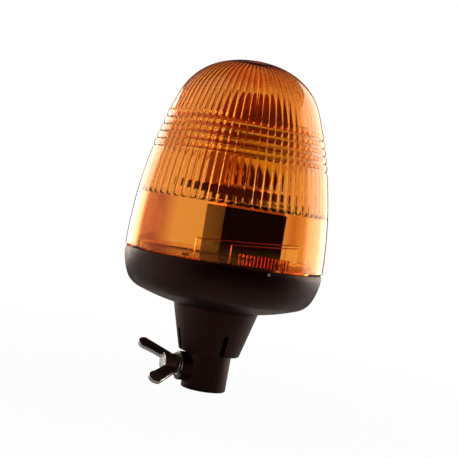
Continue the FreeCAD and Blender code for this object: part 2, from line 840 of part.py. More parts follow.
def facing(shape):
    # turn a shape made for a beam along +X into the rotor's rest direction
    shape.rotate(Vector(0, 0, 0), Vector(0, 0, 1), mirror_turn)
    return shape


def reflector():
    outer = paraboloid(mirror_wall, aperture_x())
    inner = paraboloid(0, aperture_x() + focus)
    shell = outer.cut(inner)
    below = cylinder(2 * mirror_r, 0, bush_top_z + mirror_seat)
    shell = shell.cut([below, cylinder(mirror_hole_r, 0, light_z - mirror_hole_depth)])
    return facing(shell)


def reflector_bracket():
    base_top = bush_top_z
    rib_foot = base_top - rib_root
    rib_back = -bracket_r + bracket_edge
    base = ring(hub_bore_r + seat_gap, bracket_r, high_gear_top, base_top)
    ribs = []
    for side in (-1, 1):
        y0 = side * rib_y - rib_t / 2
        ribs.append(box(rib_back, rib_front, y0, y0 + rib_t, rib_foot, base_top + rib_h))
    back = box(rib_back, rib_back + rib_t, -rib_y, rib_y, rib_foot, base_top + rib_h)
    stand = back.fuse(ribs).cut([paraboloid(mirror_wall, aperture_x() + mirror_r),
                                 cylinder(mirror_hole_r, 0, light_z)])
    return facing(base.fuse(stand).removeSplitter())


def counterweight():
    base_top = bush_top_z
    weight = sector(weight_r0, weight_r1, base_top, base_top + weight_h, -weight_angle / 2, weight_angle / 2)
    weight = weight.cut(paraboloid(mirror_wall + body_gap, aperture_x() + body_gap))
    return facing(weight)


def lamp_holder():
    bottom = post_top_z
    top = bottom + holder_t
    cup = ring(bulb_shell_r + body_gap, holder_r, bottom, top)
    pocket = cylinder(bulb_disc_r + body_gap, top - bulb_disc_t / 2, top + past)
    return cup.cut(pocket)


def bulb_base():
    bottom = post_top_z + holder_t - bulb_disc_t / 2
    disc = cylinder(bulb_disc_r, bottom, bottom + bulb_disc_t)
    shell = cylinder(bulb_shell_r, bottom - bulb_contact_h, bottom + bulb_disc_t + bulb_shell_h)
    return disc.fuse(shell).removeSplitter()


def glass_foot_z():
    return post_top_z + holder_t + bulb_disc_t / 2 + bulb_shell_h


def bulb_glass():
    foot = glass_foot_z()
    top = light_z + glass_over_light
    inner_r = glass_r - glass_wall
    bend = math.cos(radians(45))
    steps = [(inner_r, foot), (glass_r, foot), (glass_r, top - glass_r),
             ((glass_r * bend, top - glass_r + glass_r * bend), (0, top)),
             (0, top - glass_wall),
             ((inner_r * bend, top - glass_r + inner_r * bend), (inner_r, top - glass_r))]
    return turned(steps)


def bulb_filament():
    foot = glass_foot_z()
    coil = cylinder(filament_r, light_z - filament_h / 2, light_z + filament_h / 2)
    short_lead = cylinder(lead_r, foot, light_z - filament_h / 2 + lead_r, -lead_x)
    long_lead = cylinder(lead_r, foot, light_z + filament_h / 2, lead_x)
    low_z = light_z - filament_h / 2
    high_z = light_z + filament_h / 2
    low_arm = box(-lead_x, 0, -lead_r, lead_r, low_z - lead_r, low_z + lead_r)
    high_arm = box(0, lead_x, -lead_r, lead_r, high_z - lead_r, high_z + lead_r)
    return coil.fuse([short_lead, long_lead, low_arm, high_arm]).removeSplitter()


def bulb_clip():
    bottom = post_top_z + holder_t + bulb_disc_t / 2
    strap = box(-holder_r - clip_t, holder_r + clip_t, -clip_w / 2, clip_w / 2, bottom, bottom + clip_t)
    left = box(-holder_r - clip_t, -holder_r, -clip_w / 2, clip_w / 2, post_top_z, bottom + clip_t)
    right = left.copy()
    right.translate(Vector(2 * holder_r + clip_t, 0, 0))
    ring_part = cylinder(bulb_disc_r - clip_ring_inset, bottom, bottom + clip_t)
    solid = strap.fuse([left, right, ring_part])
    return solid.cut(cylinder(bulb_shell_r + seat_gap, 0, light_z)).removeSplitter()


# ---- lens

def lens_centres():
    turn1 = radians(lens_side_turn)
    turn2 = radians(lens_shoulder_turn)
    side_x = lens_r - lens_side_r
    shoulder_x = side_x + (lens_side_r - lens_shoulder_r) * math.cos(turn1)
    shoulder_h = (lens_side_r - lens_shoulder_r) * math.sin(turn1)
    crown_r = lens_shoulder_r + shoulder_x / math.cos(turn2)
    crown_h = shoulder_h - (crown_r - lens_shoulder_r) * math.sin(turn2)
    return side_x, shoulder_x, shoulder_h, crown_r, crown_h


def lens_radius(height, inset=0.0):
    # radius of the smooth outer form at a height above the rim, or of a form inset from it
    side_x, shoulder_x, shoulder_h, crown_r, crown_h = lens_centres()
    side = lens_side_r - inset
    shoulder = lens_shoulder_r - inset
    crown = crown_r - inset
    if height <= side * math.sin(radians(lens_side_turn)):
        return side_x + math.sqrt(side ** 2 - height ** 2)
    if height <= shoulder_h + shoulder * math.sin(radians(lens_shoulder_turn)):
        return shoulder_x + math.sqrt(shoulder ** 2 - (height - shoulder_h) ** 2)
    return math.sqrt(max(crown ** 2 - (height - crown_h) ** 2, 0.0))


def lens_upper(inset, start):
    # steps of the form from the height "start" on the side arc up to the axis
    side_x, shoulder_x, shoulder_h, crown_r, crown_h = lens_centres()
    turn1 = radians(lens_side_turn)
    turn2 = radians(lens_shoulder_turn)
    side = lens_side_r - inset
    shoulder = lens_shoulder_r - inset
    crown = crown_r - inset
    turn0 = math.asin(start / side)

    def at(centre, radius, turn):
        return (centre[0] + radius * math.cos(turn), rim_z + centre[1] + radius * math.sin(turn))
    side_c = (side_x, 0)
    shoulder_c = (shoulder_x, shoulder_h)
    crown_c = (0, crown_h)
    return [(at(side_c, side, (turn0 + turn1) / 2), at(side_c, side, turn1)),
            (at(shoulder_c, shoulder, (turn1 + turn2) / 2), at(shoulder_c, shoulder, turn2)),
            (at(crown_c, crown, (turn2 + math.pi / 2) / 2), (0, rim_z + crown_h + crown))]


def lens_outer():
    chamfer = lens_foot_chamfer
    first = step_first_h - step_rise / 2
    foot_r = lens_radius(body_gap)
    steps = [(0, lens_z), (foot_r - chamfer, lens_z), (foot_r, lens_z + chamfer),
             ((lens_radius(first / 2), rim_z + first / 2), (lens_radius(first), rim_z + first))]
    for index in range(step_count - 1):
        low = step_first_h + index * step_pitch
        radius = lens_radius(low + step_pitch / 2)
        steps.append((radius, rim_z + low + step_rise / 2))
        steps.append((radius, rim_z + low + step_pitch - step_rise / 2))
    last = step_first_h + (step_count - 1) * step_pitch + step_rise / 2
    steps.append((lens_radius(last), rim_z + last))
    return turned(steps + lens_upper(0, last))


def flute_wire(height, share):
    # ring of arcs: cusps on the inner form, bellies outside it by a share of the radius
    radius = lens_radius(height, lens_wall)
    belly = radius * (1 + share)
    step = 360.0 / flute_count
    edges = []
    for index in range(flute_count):
        start = polar(radius, index * step, rim_z + height)
        middle = polar(belly, (index + 0.5) * step, rim_z + height)
        end = polar(radius, (index + 1) * step, rim_z + height)
        edges.append(Part.Arc(start, middle, end).toShape())
    return Part.Wire(edges)


def flute_top_h():
    crown_r, crown_h = lens_centres()[3:]
    return crown_h + math.sqrt((crown_r - lens_wall) ** 2 - flute_top_r ** 2)


def lens_room():
    # plain band below, fluted middle, plain cap above
    top = flute_top_h()
    foot_r = lens_radius(0, lens_wall)
    band_r = lens_radius(flute_foot_h, lens_wall)
    half = flute_foot_h / 2
    band = turned([(0, lens_z - past), (foot_r, lens_z - past), (foot_r, rim_z),
                   ((lens_radius(half, lens_wall), rim_z + half), (band_r, rim_z + flute_foot_h)),
                   (0, rim_z + flute_foot_h)])
    crown_r, crown_h = lens_centres()[3:]
    crown = crown_r - lens_wall
    turn = math.acos(flute_top_r / crown)
    middle = (turn + math.pi / 2) / 2
    cap = turned([(0, rim_z + top), (flute_top_r, rim_z + top),
                  ((crown * math.cos(middle), rim_z + crown_h + crown * math.sin(middle)),
                   (0, rim_z + crown_h + crown))])
    span = top - flute_foot_h - 2 * flute_end_h
    heights = [(flute_foot_h, 0.0),
               (flute_foot_h + flute_end_h * flute_end_share, flute_depth_share * flute_end_depth)]
    for part in flute_stations:
        heights.append((flute_foot_h + flute_end_h + span * part, flute_depth_share))
    heights.append((top, 0.0))
    wires = [flute_wire(height, share) for height, share in heights]
    return [band, Part.makeLoft(wires, True, True), cap]


def lens_panels():
    # shallow recessed panels round the foot, the inner one with upright grip ribs
    low = rim_z + panel_foot_h
    outer_r = lens_r + past
    floor_r = lens_r - panel_depth
    deep_r = floor_r - inner_panel_depth
    panel = sector(floor_r, outer_r, low, rim_z + panel_top_h, panel_start, panel_end)
    deep = sector(deep_r, outer_r, low, rim_z + inner_panel_top_h, inner_panel_start, panel_end)
    half = math.degrees(grip_w / 2 / lens_r)
    count = int((panel_end - grip_start) / grip_pitch)
    ribs = []
    for index in range(count):
        middle = grip_start + index * grip_pitch
        ribs.append(sector(deep_r - lens_wall / 2, lens_r - grip_drop, lens_z + lens_foot_chamfer,
                           rim_z + grip_top_h, middle - half, middle + half))
    return [panel, deep], ribs


def lens():
    recesses, ribs = lens_panels()
    shell = lens_outer().cut(recesses).fuse(ribs)
    shell = shell.cut(lens_room())
    lug_r = lens_radius(0, lens_wall)
    half = lug_angle / 2 - lug_end_gap
    lug_z = lens_z + lens_lug_z
    lug = sector(lug_r - lug_reach - hole_gap, lug_r + lug_root, lug_z, lug_z + lug_t, -half, half)
    return shell.fuse(around(lug, lug_count, lug_start)).removeSplitter()


parts = {
    "base_housing": base_housing,
    "rubber_mount": rubber_mount,
    "pole_sleeve": pole_sleeve,
    "threaded_insert": threaded_insert,
    "mount_clamp_ring": mount_clamp_ring,
    "mount_clamp_screws": lambda: screws(clamp_screw_ring_r, clamp_screw_count, clamp_screw_angle,
                                         rubber_top_z + clamp_ring_t, clamp_screw_length),
    "contact_holder": contact_holder,
    "contact_plunger": contact_plunger,
    "seal_ring": seal_ring,
    "chassis_plate": chassis_plate,
    "chassis_screws": lambda: screws(chassis_screw_ring_r, chassis_screw_count, chassis_screw_angle,
                                     plate_top_z, chassis_screw_length),
    "suppressor": suppressor,
    "drive_housing": drive_housing,
    "gear_plate": gear_plate,
    "gear_plate_screws": gear_plate_screws,
    "motor_can": motor_can,
    "motor_shaft": motor_shaft,
    "motor_pinion": motor_pinion,
    "idler_pin": idler_pin,
    "idler_gear": idler_gear,
    "idler_pinion": idler_pinion,
    "ring_gear": ring_gear,
    "rotor_bush": rotor_bush,
    "lamp_post": lamp_post,
    "retaining_ring": retaining_ring,
    "reflector": reflector,
    "reflector_bracket": reflector_bracket,
    "counterweight": counterweight,
    "lamp_holder": lamp_holder,
    "bulb_base": bulb_base,
    "bulb_glass": bulb_glass,
    "bulb_filament": bulb_filament,
    "bulb_clip": bulb_clip,
    "lens": lens,
    "screw_washer": screw_washer,
    "wing_screw": wing_screw,
}

os.makedirs("parts", exist_ok=True)
for name, make in parts.items():
    shape = make()
    shape.exportStep("parts/" + name + ".step")
    low = shape.BoundBox
    print(name, "solids", len(shape.Solids), "valid", shape.isValid(), "volume", round(shape.Volume, 1),
          "box", [round(v, 2) for v in (low.XMin, low.YMin, low.ZMin, low.XMax, low.YMax, low.ZMax)])
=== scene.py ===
import json
import math
import bmesh
import bpy
from mathutils import Matrix, Vector


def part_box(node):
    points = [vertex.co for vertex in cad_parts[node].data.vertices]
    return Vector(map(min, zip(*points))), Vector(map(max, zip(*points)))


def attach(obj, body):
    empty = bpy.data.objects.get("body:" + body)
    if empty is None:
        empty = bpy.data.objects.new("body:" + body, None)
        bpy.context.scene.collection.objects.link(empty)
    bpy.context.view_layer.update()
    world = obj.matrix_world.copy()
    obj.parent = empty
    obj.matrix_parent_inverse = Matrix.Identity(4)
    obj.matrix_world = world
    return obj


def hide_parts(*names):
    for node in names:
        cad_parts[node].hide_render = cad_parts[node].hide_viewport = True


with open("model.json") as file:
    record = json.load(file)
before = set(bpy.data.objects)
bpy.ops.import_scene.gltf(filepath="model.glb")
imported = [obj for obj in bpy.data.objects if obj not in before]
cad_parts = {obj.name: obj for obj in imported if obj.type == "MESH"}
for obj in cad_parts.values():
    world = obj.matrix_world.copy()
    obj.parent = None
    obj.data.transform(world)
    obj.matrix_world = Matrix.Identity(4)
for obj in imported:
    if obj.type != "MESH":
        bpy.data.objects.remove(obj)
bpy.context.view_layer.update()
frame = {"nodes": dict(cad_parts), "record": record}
mm = 0.001
mergeGap = 2e-6
cadMergeGap = 4e-6
print("frame loaded:", len(frame["nodes"]), "nodes")


# small helpers

def nodeBox(node):
    low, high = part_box(node)
    return Vector(low), Vector(high)


def meshObject(name, mesh):
    piece = bpy.data.objects.new(name, mesh)
    bpy.context.scene.collection.objects.link(piece)
    return piece


def meshFrom(work, name):
    mesh = bpy.data.meshes.new(name)
    work.to_mesh(mesh)
    work.free()
    return mesh


def shadeEdges(work, sharpAngle):
    # smooth faces, with the edges past the angle kept sharp
    limit = math.radians(sharpAngle)
    for face in work.faces:
        face.smooth = True
    for edge in work.edges:
        edge.smooth = len(edge.link_faces) == 2 and edge.calc_face_angle(0.0) < limit


def shadeByAngle(piece, sharpAngle=35.0):
    work = bmesh.new()
    work.from_mesh(piece.data)
    shadeEdges(work, sharpAngle)
    work.to_mesh(piece.data)
    work.free()


def finishMesh(work, name, sharpAngle=35.0):
    # merge, point the faces out and shade
    bmesh.ops.remove_doubles(work, verts=work.verts, dist=mergeGap)
    bmesh.ops.recalc_face_normals(work, faces=work.faces)
    shadeEdges(work, sharpAngle)
    return meshObject(name, meshFrom(work, name))


def circlePoints(centre, radius, start, end, count):
    points = []
    for index in range(count + 1):
        angle = math.radians(start + (end - start) * index / count)
        points.append((centre[0] + radius * math.cos(angle), centre[1] + radius * math.sin(angle)))
    return points


def softened(corners, closed=False, steps=5):
    # corners are (radius, height, rounding) in millimetres; returns points in metres
    points = []
    count = len(corners)
    for index, (x, z, rounding) in enumerate(corners):
        here = Vector((x, z))
        before = Vector(corners[index - 1][:2]) - here
        after = Vector(corners[(index + 1) % count][:2]) - here
        ends = not closed and index in (0, count - 1)
        turn = 0.0 if rounding <= 0 or ends else math.pi - before.angle(after)
        if turn < 1e-3:
            points.append(here * mm)
            continue
        cut = min(rounding * math.tan(turn / 2), before.length * 0.48, after.length * 0.48)
        radius = cut / math.tan(turn / 2)
        start = here + before.normalized() * cut
        bisector = (before.normalized() + after.normalized()).normalized()
        centre = here + bisector * math.hypot(radius, cut)
        first = (start - centre).to_2d()
        finish = (here + after.normalized() * cut) - centre
        sweep = first.angle_signed(finish)
        for step in range(steps + 1):
            points.append((centre + Matrix.Rotation(-sweep * step / steps, 2) @ first) * mm)
    return points


def stitch(work, low, high):
    # quads between two rings of as many points
    count = len(low)
    for step in range(count):
        follow = (step + 1) % count
        work.faces.new((low[step], low[follow], high[follow], high[step]))


def stitchAll(work, rings):
    # a closed tube through a list of rings
    for low, high in zip(rings, rings[1:]):
        stitch(work, low, high)
    work.faces.new(rings[0])
    work.faces.new(list(reversed(rings[-1])))
    return work


def lathe(profile, around=160, closed=False):
    # turn a list of (radius, height) points in metres about the vertical axis
    work = bmesh.new()
    rings = []
    for radius, height in profile:
        angles = [2 * math.pi * step / around for step in range(around)] if radius > mergeGap / 2 else [0.0]
        reach = radius if len(angles) > 1 else 0.0
        rings.append([work.verts.new((reach * math.cos(angle), reach * math.sin(angle), height))
                      for angle in angles])
    pairs = list(zip(rings, rings[1:]))
    if closed:
        pairs.append((rings[-1], rings[0]))
    for low, high in pairs:
        if len(low) == len(high):
            stitch(work, low, high)
            continue
        for step in range(around):
            follow = (step + 1) % around
            if len(low) == 1:
                work.faces.new((low[0], high[step], high[follow]))
            else:
                work.faces.new((low[step], low[follow], high[0]))
    return work


def moved(work, matrix):
    bmesh.ops.transform(work, matrix=matrix, verts=work.verts)
    return work


def spun(work, degrees, axis):
    return moved(work, Matrix.Rotation(math.radians(degrees), 4, axis))


def shifted(work, x, y, z):
    # by millimetres
    return moved(work, Matrix.Translation((x * mm, y * mm, z * mm)))


def joined(works):
    # several bmesh bodies as one
    whole = bmesh.new()
    for work in works:
        part = meshFrom(work, "part")
        whole.from_mesh(part)
        bpy.data.meshes.remove(part)
    return whole


def prism(outline, depth):
    # a closed outline in millimetres in the XY plane, pulled up by depth, centred on z = 0
    work = bmesh.new()
    half = depth * mm / 2
    bottom, top = ([work.verts.new((x * mm, y * mm, z)) for x, y in outline] for z in (-half, half))
    work.faces.new(list(reversed(bottom)))
    work.faces.new(top)
    stitch(work, bottom, top)
    return work


def applyModifiers(piece):
    graph = bpy.context.evaluated_depsgraph_get()
    graph.update()
    old = piece.data
    mesh = bpy.data.meshes.new_from_object(piece.evaluated_get(graph))
    mesh.name = piece.name
    piece.modifiers.clear()
    piece.data = mesh
    bpy.data.meshes.remove(old)
    return piece


def fusedByVoxels(piece, voxel, smoothing):
    # melts overlapping bodies into one skin with small rounded joins, as a casting has
    remesh = piece.modifiers.new("melt", "REMESH")
    remesh.mode = "VOXEL"
    remesh.voxel_size = voxel
    remesh.use_smooth_shade = True
    smooth = piece.modifiers.new("ease", "SMOOTH")
    smooth.factor = 0.5
    smooth.iterations = smoothing
    return applyModifiers(piece)


def cutWith(piece, works):
    cutter = finishMesh(joined(works), "cutter")
    cut = piece.modifiers.new("cut", "BOOLEAN")
    cut.operation = "DIFFERENCE"
    cut.solver = "EXACT"
    cut.object = cutter
    applyModifiers(piece)
    bpy.data.objects.remove(cutter)
    return piece


def dress(piece, material, body, slotName, *nodes):
    piece.data.materials.clear()
    piece.data.materials.append(material)
    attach(piece, body)
    if nodes:
        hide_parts(*nodes)
    return piece


# node trees and materials

class Nodes:
    # short calls that write one node tree; an input takes a value or another node's output

    def __init__(self, tree):
        self.nodes = tree.nodes
        self.links = tree.links

    def feed(self, value, socket):
        if isinstance(value, bpy.types.NodeSocket):
            self.links.new(value, socket)
        else:
            socket.default_value = value

    def node(self, kind, inputs=None, **settings):
        made = self.nodes.new(kind)
        for key, value in settings.items():
            setattr(made, key, value)
        for label, value in (inputs or {}).items():
            self.feed(value, made.inputs[label])
        return made

    def math(self, operation, first, second=0.0):
        return self.node("ShaderNodeMath", {0: first, 1: second}, operation=operation).outputs[0]

    def blend(self, share, first, second):
        return self.node("ShaderNodeMixShader", {0: share, 1: first, 2: second}).outputs[0]


class Shader(Nodes):
    # a material with one Principled surface and what feeds it

    def __init__(self, name):
        self.material = bpy.data.materials.new(name)
        self.material.use_nodes = True
        super().__init__(self.material.node_tree)
        self.nodes.clear()
        self.output = self.node("ShaderNodeOutputMaterial")
        self.surface = self.node("ShaderNodeBsdfPrincipled")
        self.feed(self.surface.outputs[0], self.output.inputs["Surface"])
        self.place = self.node("ShaderNodeTexCoord").outputs["Object"]

    def plain(self, **values):
        for key, value in values.items():
            self.surface.inputs[key.replace("_", " ")].default_value = value

    def noise(self, scale, detail=3.0, rough=0.55, stretch=(1, 1, 1)):
        mapping = self.node("ShaderNodeMapping", {"Scale": stretch, "Vector": self.place})
        return self.node("ShaderNodeTexNoise", {"Scale": scale, "Detail": detail, "Roughness": rough,
                                                "Vector": mapping.outputs[0]}).outputs[0]

    def tint(self, source, first, last, low=0.3, high=0.7):
        # the surface's colour runs from the first tone to the last
        ramp = self.node("ShaderNodeValToRGB", {0: source})
        for mark, place, tone in zip(ramp.color_ramp.elements, (low, high), (first, last)):
            mark.position = place
            mark.color = (*tone, 1)
        self.feed(ramp.outputs[0], self.surface.inputs["Base Color"])

    def roughen(self, source, low, high):
        span = self.node("ShaderNodeMapRange", {"Value": source, "From Min": 0.3, "From Max": 0.7,
                                                "To Min": low, "To Max": high})
        self.feed(span.outputs[0], self.surface.inputs["Roughness"])

    def bump(self, source, strength, distance):
        bump = self.node("ShaderNodeBump", {"Strength": strength, "Distance": distance, "Height": source})
        self.feed(bump.outputs[0], self.surface.inputs["Normal"])


finishes = {
    "amberTint": (0.91, 0.58, 0.21),
    # a deeper red copy of the lens amber, painted shade on the grip ribs and panel beads
    "paintedShadeTint": (0.80, 0.13, 0.10),
    "amberDepth": (0.90, 0.30, 0.05),
    "amberDensity": 60.0,
    "amberIor": 1.49,
    "mouldingDark": (0.0014, 0.0007, 0.0010),
    "mouldingWarm": (0.0034, 0.0015, 0.0017),
    "rubberDark": (0.0030, 0.0014, 0.0018),
    "rubberWarm": (0.0062, 0.0028, 0.0030),
    "plasticGloss": 0.55,
    "plasticSheen": (1.0, 0.42, 0.33, 1.0),
    "paleTint": (0.97, 0.86, 0.68),
    "amberSheen": (0.8, 0.55, 0.35, 1.0),
    "zinc": (0.62, 0.61, 0.58),
    "steel": (0.50, 0.50, 0.51),
    # painted shade and painted highlight: a dark and a bright copy of the wing screw's one cast zinc
    "castPaintedShade": (0.10, 0.058, 0.045),
    "castPaintedHighlight": (0.86, 0.84, 0.80),
    "brass": (0.72, 0.52, 0.22),
    "bronze": (0.52, 0.34, 0.19),
    "greyPlastic": (0.10, 0.095, 0.09),
    "gearPlastic": (0.055, 0.048, 0.045),
    "mirror": (0.90, 0.90, 0.90),
    "mirrorBack": (0.90, 0.66, 0.16),
    "copper": (0.62, 0.22, 0.12),
    "phenolic": (0.19, 0.042, 0.033),
}


def mouldedPlastic(name, dark, warm, roughLow, roughHigh, grain=0.05, gloss=finishes["plasticGloss"]):
    made = Shader(name)
    made.tint(made.noise(38.0, 4.0), dark, warm, 0.35, 0.68)
    made.roughen(made.noise(120.0), roughLow, roughHigh)
    made.bump(made.noise(2600.0, 2.0), grain, 0.00003)
    made.plain(Specular_IOR_Level=gloss, Specular_Tint=finishes["plasticSheen"])
    return made.material


def plainMetal(name, colour, roughLow, roughHigh, stretch=(1, 1, 1), scale=900.0):
    made = Shader(name)
    streak = made.noise(scale, 3.0, 0.6, stretch)
    made.tint(streak, tuple(part * 0.82 for part in colour), colour)
    made.roughen(made.noise(scale * 0.4, 3.0, 0.6, stretch), roughLow, roughHigh)
    made.bump(streak, 0.08, 0.00002)
    made.plain(Metallic=1.0)
    return made.material


def amberMaterial(name, tint):
    # clear tinted plastic: the tint is in the surface and deepens with the path through the wall
    made = Shader(name)
    made.plain(Transmission_Weight=1.0, IOR=finishes["amberIor"], Specular_Tint=finishes["amberSheen"])
    made.tint(made.noise(26.0, 2.0), tint, tuple(min(1.0, part * 1.03) for part in tint))
    made.roughen(made.noise(60.0, 2.0), 0.015, 0.035)
    shadow = made.node("ShaderNodeLightPath").outputs["Is Shadow Ray"]
    clear = made.node("ShaderNodeBsdfTransparent", {"Color": (*tint, 1)}).outputs[0]
    made.feed(made.blend(shadow, made.surface.outputs[0], clear), made.output.inputs["Surface"])
    depth = made.node("ShaderNodeVolumeAbsorption", {"Color": (*finishes["amberDepth"], 1),
                                                     "Density": finishes["amberDensity"]})
    made.feed(depth.outputs[0], made.output.inputs["Volume"])
    return made.material


def clearGlassMaterial():
    made = Shader("clearLampGlass")
    made.plain(Transmission_Weight=1.0, IOR=1.46)
    made.tint(made.noise(80.0), (0.95, 0.96, 0.97), (1.0, 1.0, 1.0))
    made.roughen(made.noise(200.0), 0.0, 0.02)
    return made.material


def filamentMaterial():
    made = Shader("tungstenFilament")
    made.tint(made.noise(3000.0), (0.30, 0.29, 0.28), (0.45, 0.44, 0.42))
    made.plain(Metallic=1.0, Roughness=0.45)
    return made.material


moulding = (finishes["mouldingDark"], finishes["mouldingWarm"])
blackMoulding = mouldedPlastic("blackMoulding", *moulding, 0.34, 0.46)
driveBlack = mouldedPlastic("driveBlack", *moulding, 0.2, 0.22, 0.0, 0.06)
plateBlack = mouldedPlastic("plateBlack", *moulding, 0.05, 0.1, 0.0, 0.5)
blackRubber = mouldedPlastic("blackRubber", finishes["rubberDark"], finishes["rubberWarm"], 0.42, 0.56, 0.09)
greyPlastic = mouldedPlastic("greyInsulator", (0.07, 0.066, 0.062), finishes["greyPlastic"], 0.4, 0.55)
gearPlastic = mouldedPlastic("gearPlastic", (0.035, 0.031, 0.029), finishes["gearPlastic"], 0.35, 0.5)
mirrorBack = plainMetal("mirrorBack", finishes["mirrorBack"], 0.12, 0.2, scale=40.0)
copperPlate = plainMetal("copperPlate", finishes["copper"], 0.2, 0.34, scale=200.0)
brownPhenolic = mouldedPlastic("brownPhenolic", (0.11, 0.026, 0.020), finishes["phenolic"], 0.3, 0.42, 0.03)
markWhite = mouldedPlastic("markWhite", (0.62, 0.61, 0.60), (0.72, 0.71, 0.70), 0.4, 0.5)
zincPlate = plainMetal("zincPlate", finishes["zinc"], 0.22, 0.4)
plainSteel = plainMetal("plainSteel", finishes["steel"], 0.25, 0.42, (1, 1, 8))
# two copies of the wing screw's cast zinc: the dark one is painted shade, the bright one is painted highlight
castPaintedShade = mouldedPlastic("castDarkFace", (0.060, 0.034, 0.026), finishes["castPaintedShade"], 0.3, 0.5, 0.12, 0.9)
castPaintedHighlight = plainMetal("castBrightEdge", finishes["castPaintedHighlight"], 0.16, 0.3, scale=600.0)
turnedBrass = plainMetal("turnedBrass", finishes["brass"], 0.2, 0.34, (1, 1, 10))
sinteredBronze = plainMetal("sinteredBronze", finishes["bronze"], 0.34, 0.5)
mirrorCoat = plainMetal("mirrorCoat", finishes["mirror"], 0.03, 0.08, scale=60.0)
amberPlastic = amberMaterial("amberLensPlastic", finishes["amberTint"])
# the same amber in a deeper red: painted shade on the grip ribs and panel beads
amberShadedOutline = amberMaterial("amberThickEdge", finishes["paintedShadeTint"])
amberPale = amberMaterial("amberPaleCollar", finishes["paleTint"])
lampGlass = clearGlassMaterial()
filamentMetal = filamentMaterial()
print("materials ready")


# Geometry Nodes: a ring of copies, and the flutes inside the lens

class Tree(Nodes):
    # a Geometry Nodes tree whose inputs are given by name and kind

    def __init__(self, name, inputs):
        self.tree = bpy.data.node_groups.new(name, "GeometryNodeTree")
        self.tree.is_modifier = True
        super().__init__(self.tree)
        face = self.tree.interface
        self.sockets = {}
        for label, kind in inputs.items():
            socket = face.new_socket(name=label, in_out="INPUT", socket_type="NodeSocket" + kind)
            self.sockets[label] = socket.identifier
        face.new_socket(name="Geometry", in_out="OUTPUT", socket_type="NodeSocketGeometry")
        self.given = self.node("NodeGroupInput").outputs
        self.exit = self.node("NodeGroupOutput")

    def vector(self, x, y, z):
        return self.node("ShaderNodeCombineXYZ", {0: x, 1: y, 2: z}).outputs[0]

    def ending(self, shape):
        # real copies in the given material, sent out
        real = self.node("GeometryNodeRealizeInstances", {0: shape})
        coat = self.node("GeometryNodeSetMaterial", {"Geometry": real.outputs[0],
                                                     "Material": self.given["Material"]})
        self.feed(coat.outputs[0], self.exit.inputs[0])
        return self

    def applyTo(self, piece, values):
        modifier = piece.modifiers.new(self.tree.name, "NODES")
        modifier.node_group = self.tree
        for label, value in values.items():
            modifier[self.sockets[label]] = value
        return applyModifiers(piece)


def ringOfCopiesTree():
    tree = Tree("ringOfCopies", {
        "Geometry": "Geometry", "Copy": "Object", "Count": "Int", "Radius": "Float", "Start": "Float",
        "Step": "Float", "Height": "Float", "Material": "Material"})
    given = tree.given
    index = tree.node("GeometryNodeInputIndex").outputs[0]
    angle = tree.math("ADD", given["Start"], tree.math("MULTIPLY", index, given["Step"]))
    x = tree.math("MULTIPLY", given["Radius"], tree.math("COSINE", angle))
    y = tree.math("MULTIPLY", given["Radius"], tree.math("SINE", angle))
    points = tree.node("GeometryNodePoints", {"Count": given["Count"],
                                              "Position": tree.vector(x, y, given["Height"])})
    source = tree.node("GeometryNodeObjectInfo", {"Object": given["Copy"]})
    copies = tree.node("GeometryNodeInstanceOnPoints", {
        "Points": points.outputs[0], "Instance": source.outputs["Geometry"],
        "Rotation": tree.vector(0.0, 0.0, angle)})
    return tree.ending(copies.outputs[0])


ringOfCopies = ringOfCopiesTree()


def ringPiece(name, copyWork, material, count, radius, start, step, height):
    # copies of one small body set round the axis, lengths in millimetres; its outward side is +X
    copy = finishMesh(copyWork, name + "Copy")
    carrier = meshObject(name, bpy.data.meshes.new(name + "Carrier"))
    ringOfCopies.applyTo(carrier, {
        "Copy": copy, "Count": count, "Radius": radius * mm, "Start": math.radians(start),
        "Step": math.radians(step), "Height": height * mm, "Material": material})
    bpy.data.objects.remove(copy)
    shadeByAngle(carrier)
    return carrier


def fluteTree():
    # presses round-ended flutes into vertices marked by the attribute "flutedWall"
    tree = Tree("lensFlutes", {
        "Geometry": "Geometry", "Count": "Int", "Depth": "Float", "Foot": "Float", "Top": "Float",
        "TopEnd": "Float", "Material": "Material"})
    given = tree.given
    position = tree.node("GeometryNodeInputPosition").outputs[0]
    x, y, z = tree.node("ShaderNodeSeparateXYZ", {0: position}).outputs
    angle = tree.math("ARCTAN2", y, x)
    radius = tree.math("SQRT", tree.math("ADD", tree.math("MULTIPLY", x, x), tree.math("MULTIPLY", y, y)))
    turns = tree.math("MULTIPLY", tree.math("DIVIDE", angle, 2 * math.pi), given["Count"])
    across = tree.math("SUBTRACT", tree.math("MULTIPLY", tree.math("FRACT", turns), 2.0), 1.0)
    half = tree.math("DIVIDE", tree.math("MULTIPLY", radius, math.pi), given["Count"])
    rise = tree.math("DIVIDE", tree.math("SUBTRACT", z, given["Foot"]), half)
    # 1 at the foot, 0 one half-width up
    short = tree.math("MAXIMUM", tree.math("SUBTRACT", 1.0, rise), 0.0)
    reach = tree.math("ADD", tree.math("MULTIPLY", across, across), tree.math("MULTIPLY", short, short))
    belly = tree.math("SQRT", tree.math("MAXIMUM", tree.math("SUBTRACT", 1.0, reach), 0.0))
    fall = tree.math("DIVIDE", tree.math("SUBTRACT", given["Top"], z), given["TopEnd"])
    fade = tree.node("ShaderNodeClamp", {"Value": fall}).outputs[0]
    mark = tree.node("GeometryNodeInputNamedAttribute", {"Name": "flutedWall"}, data_type="FLOAT")
    amount = tree.math("MULTIPLY", tree.math("MULTIPLY", belly, given["Depth"]),
                       tree.math("MULTIPLY", fade, mark.outputs[0]))
    shift = tree.vector(tree.math("MULTIPLY", x, amount), tree.math("MULTIPLY", y, amount), 0.0)
    press = tree.node("GeometryNodeSetPosition", {"Geometry": given["Geometry"], "Offset": shift})
    return tree.ending(press.outputs[0])


# the lens

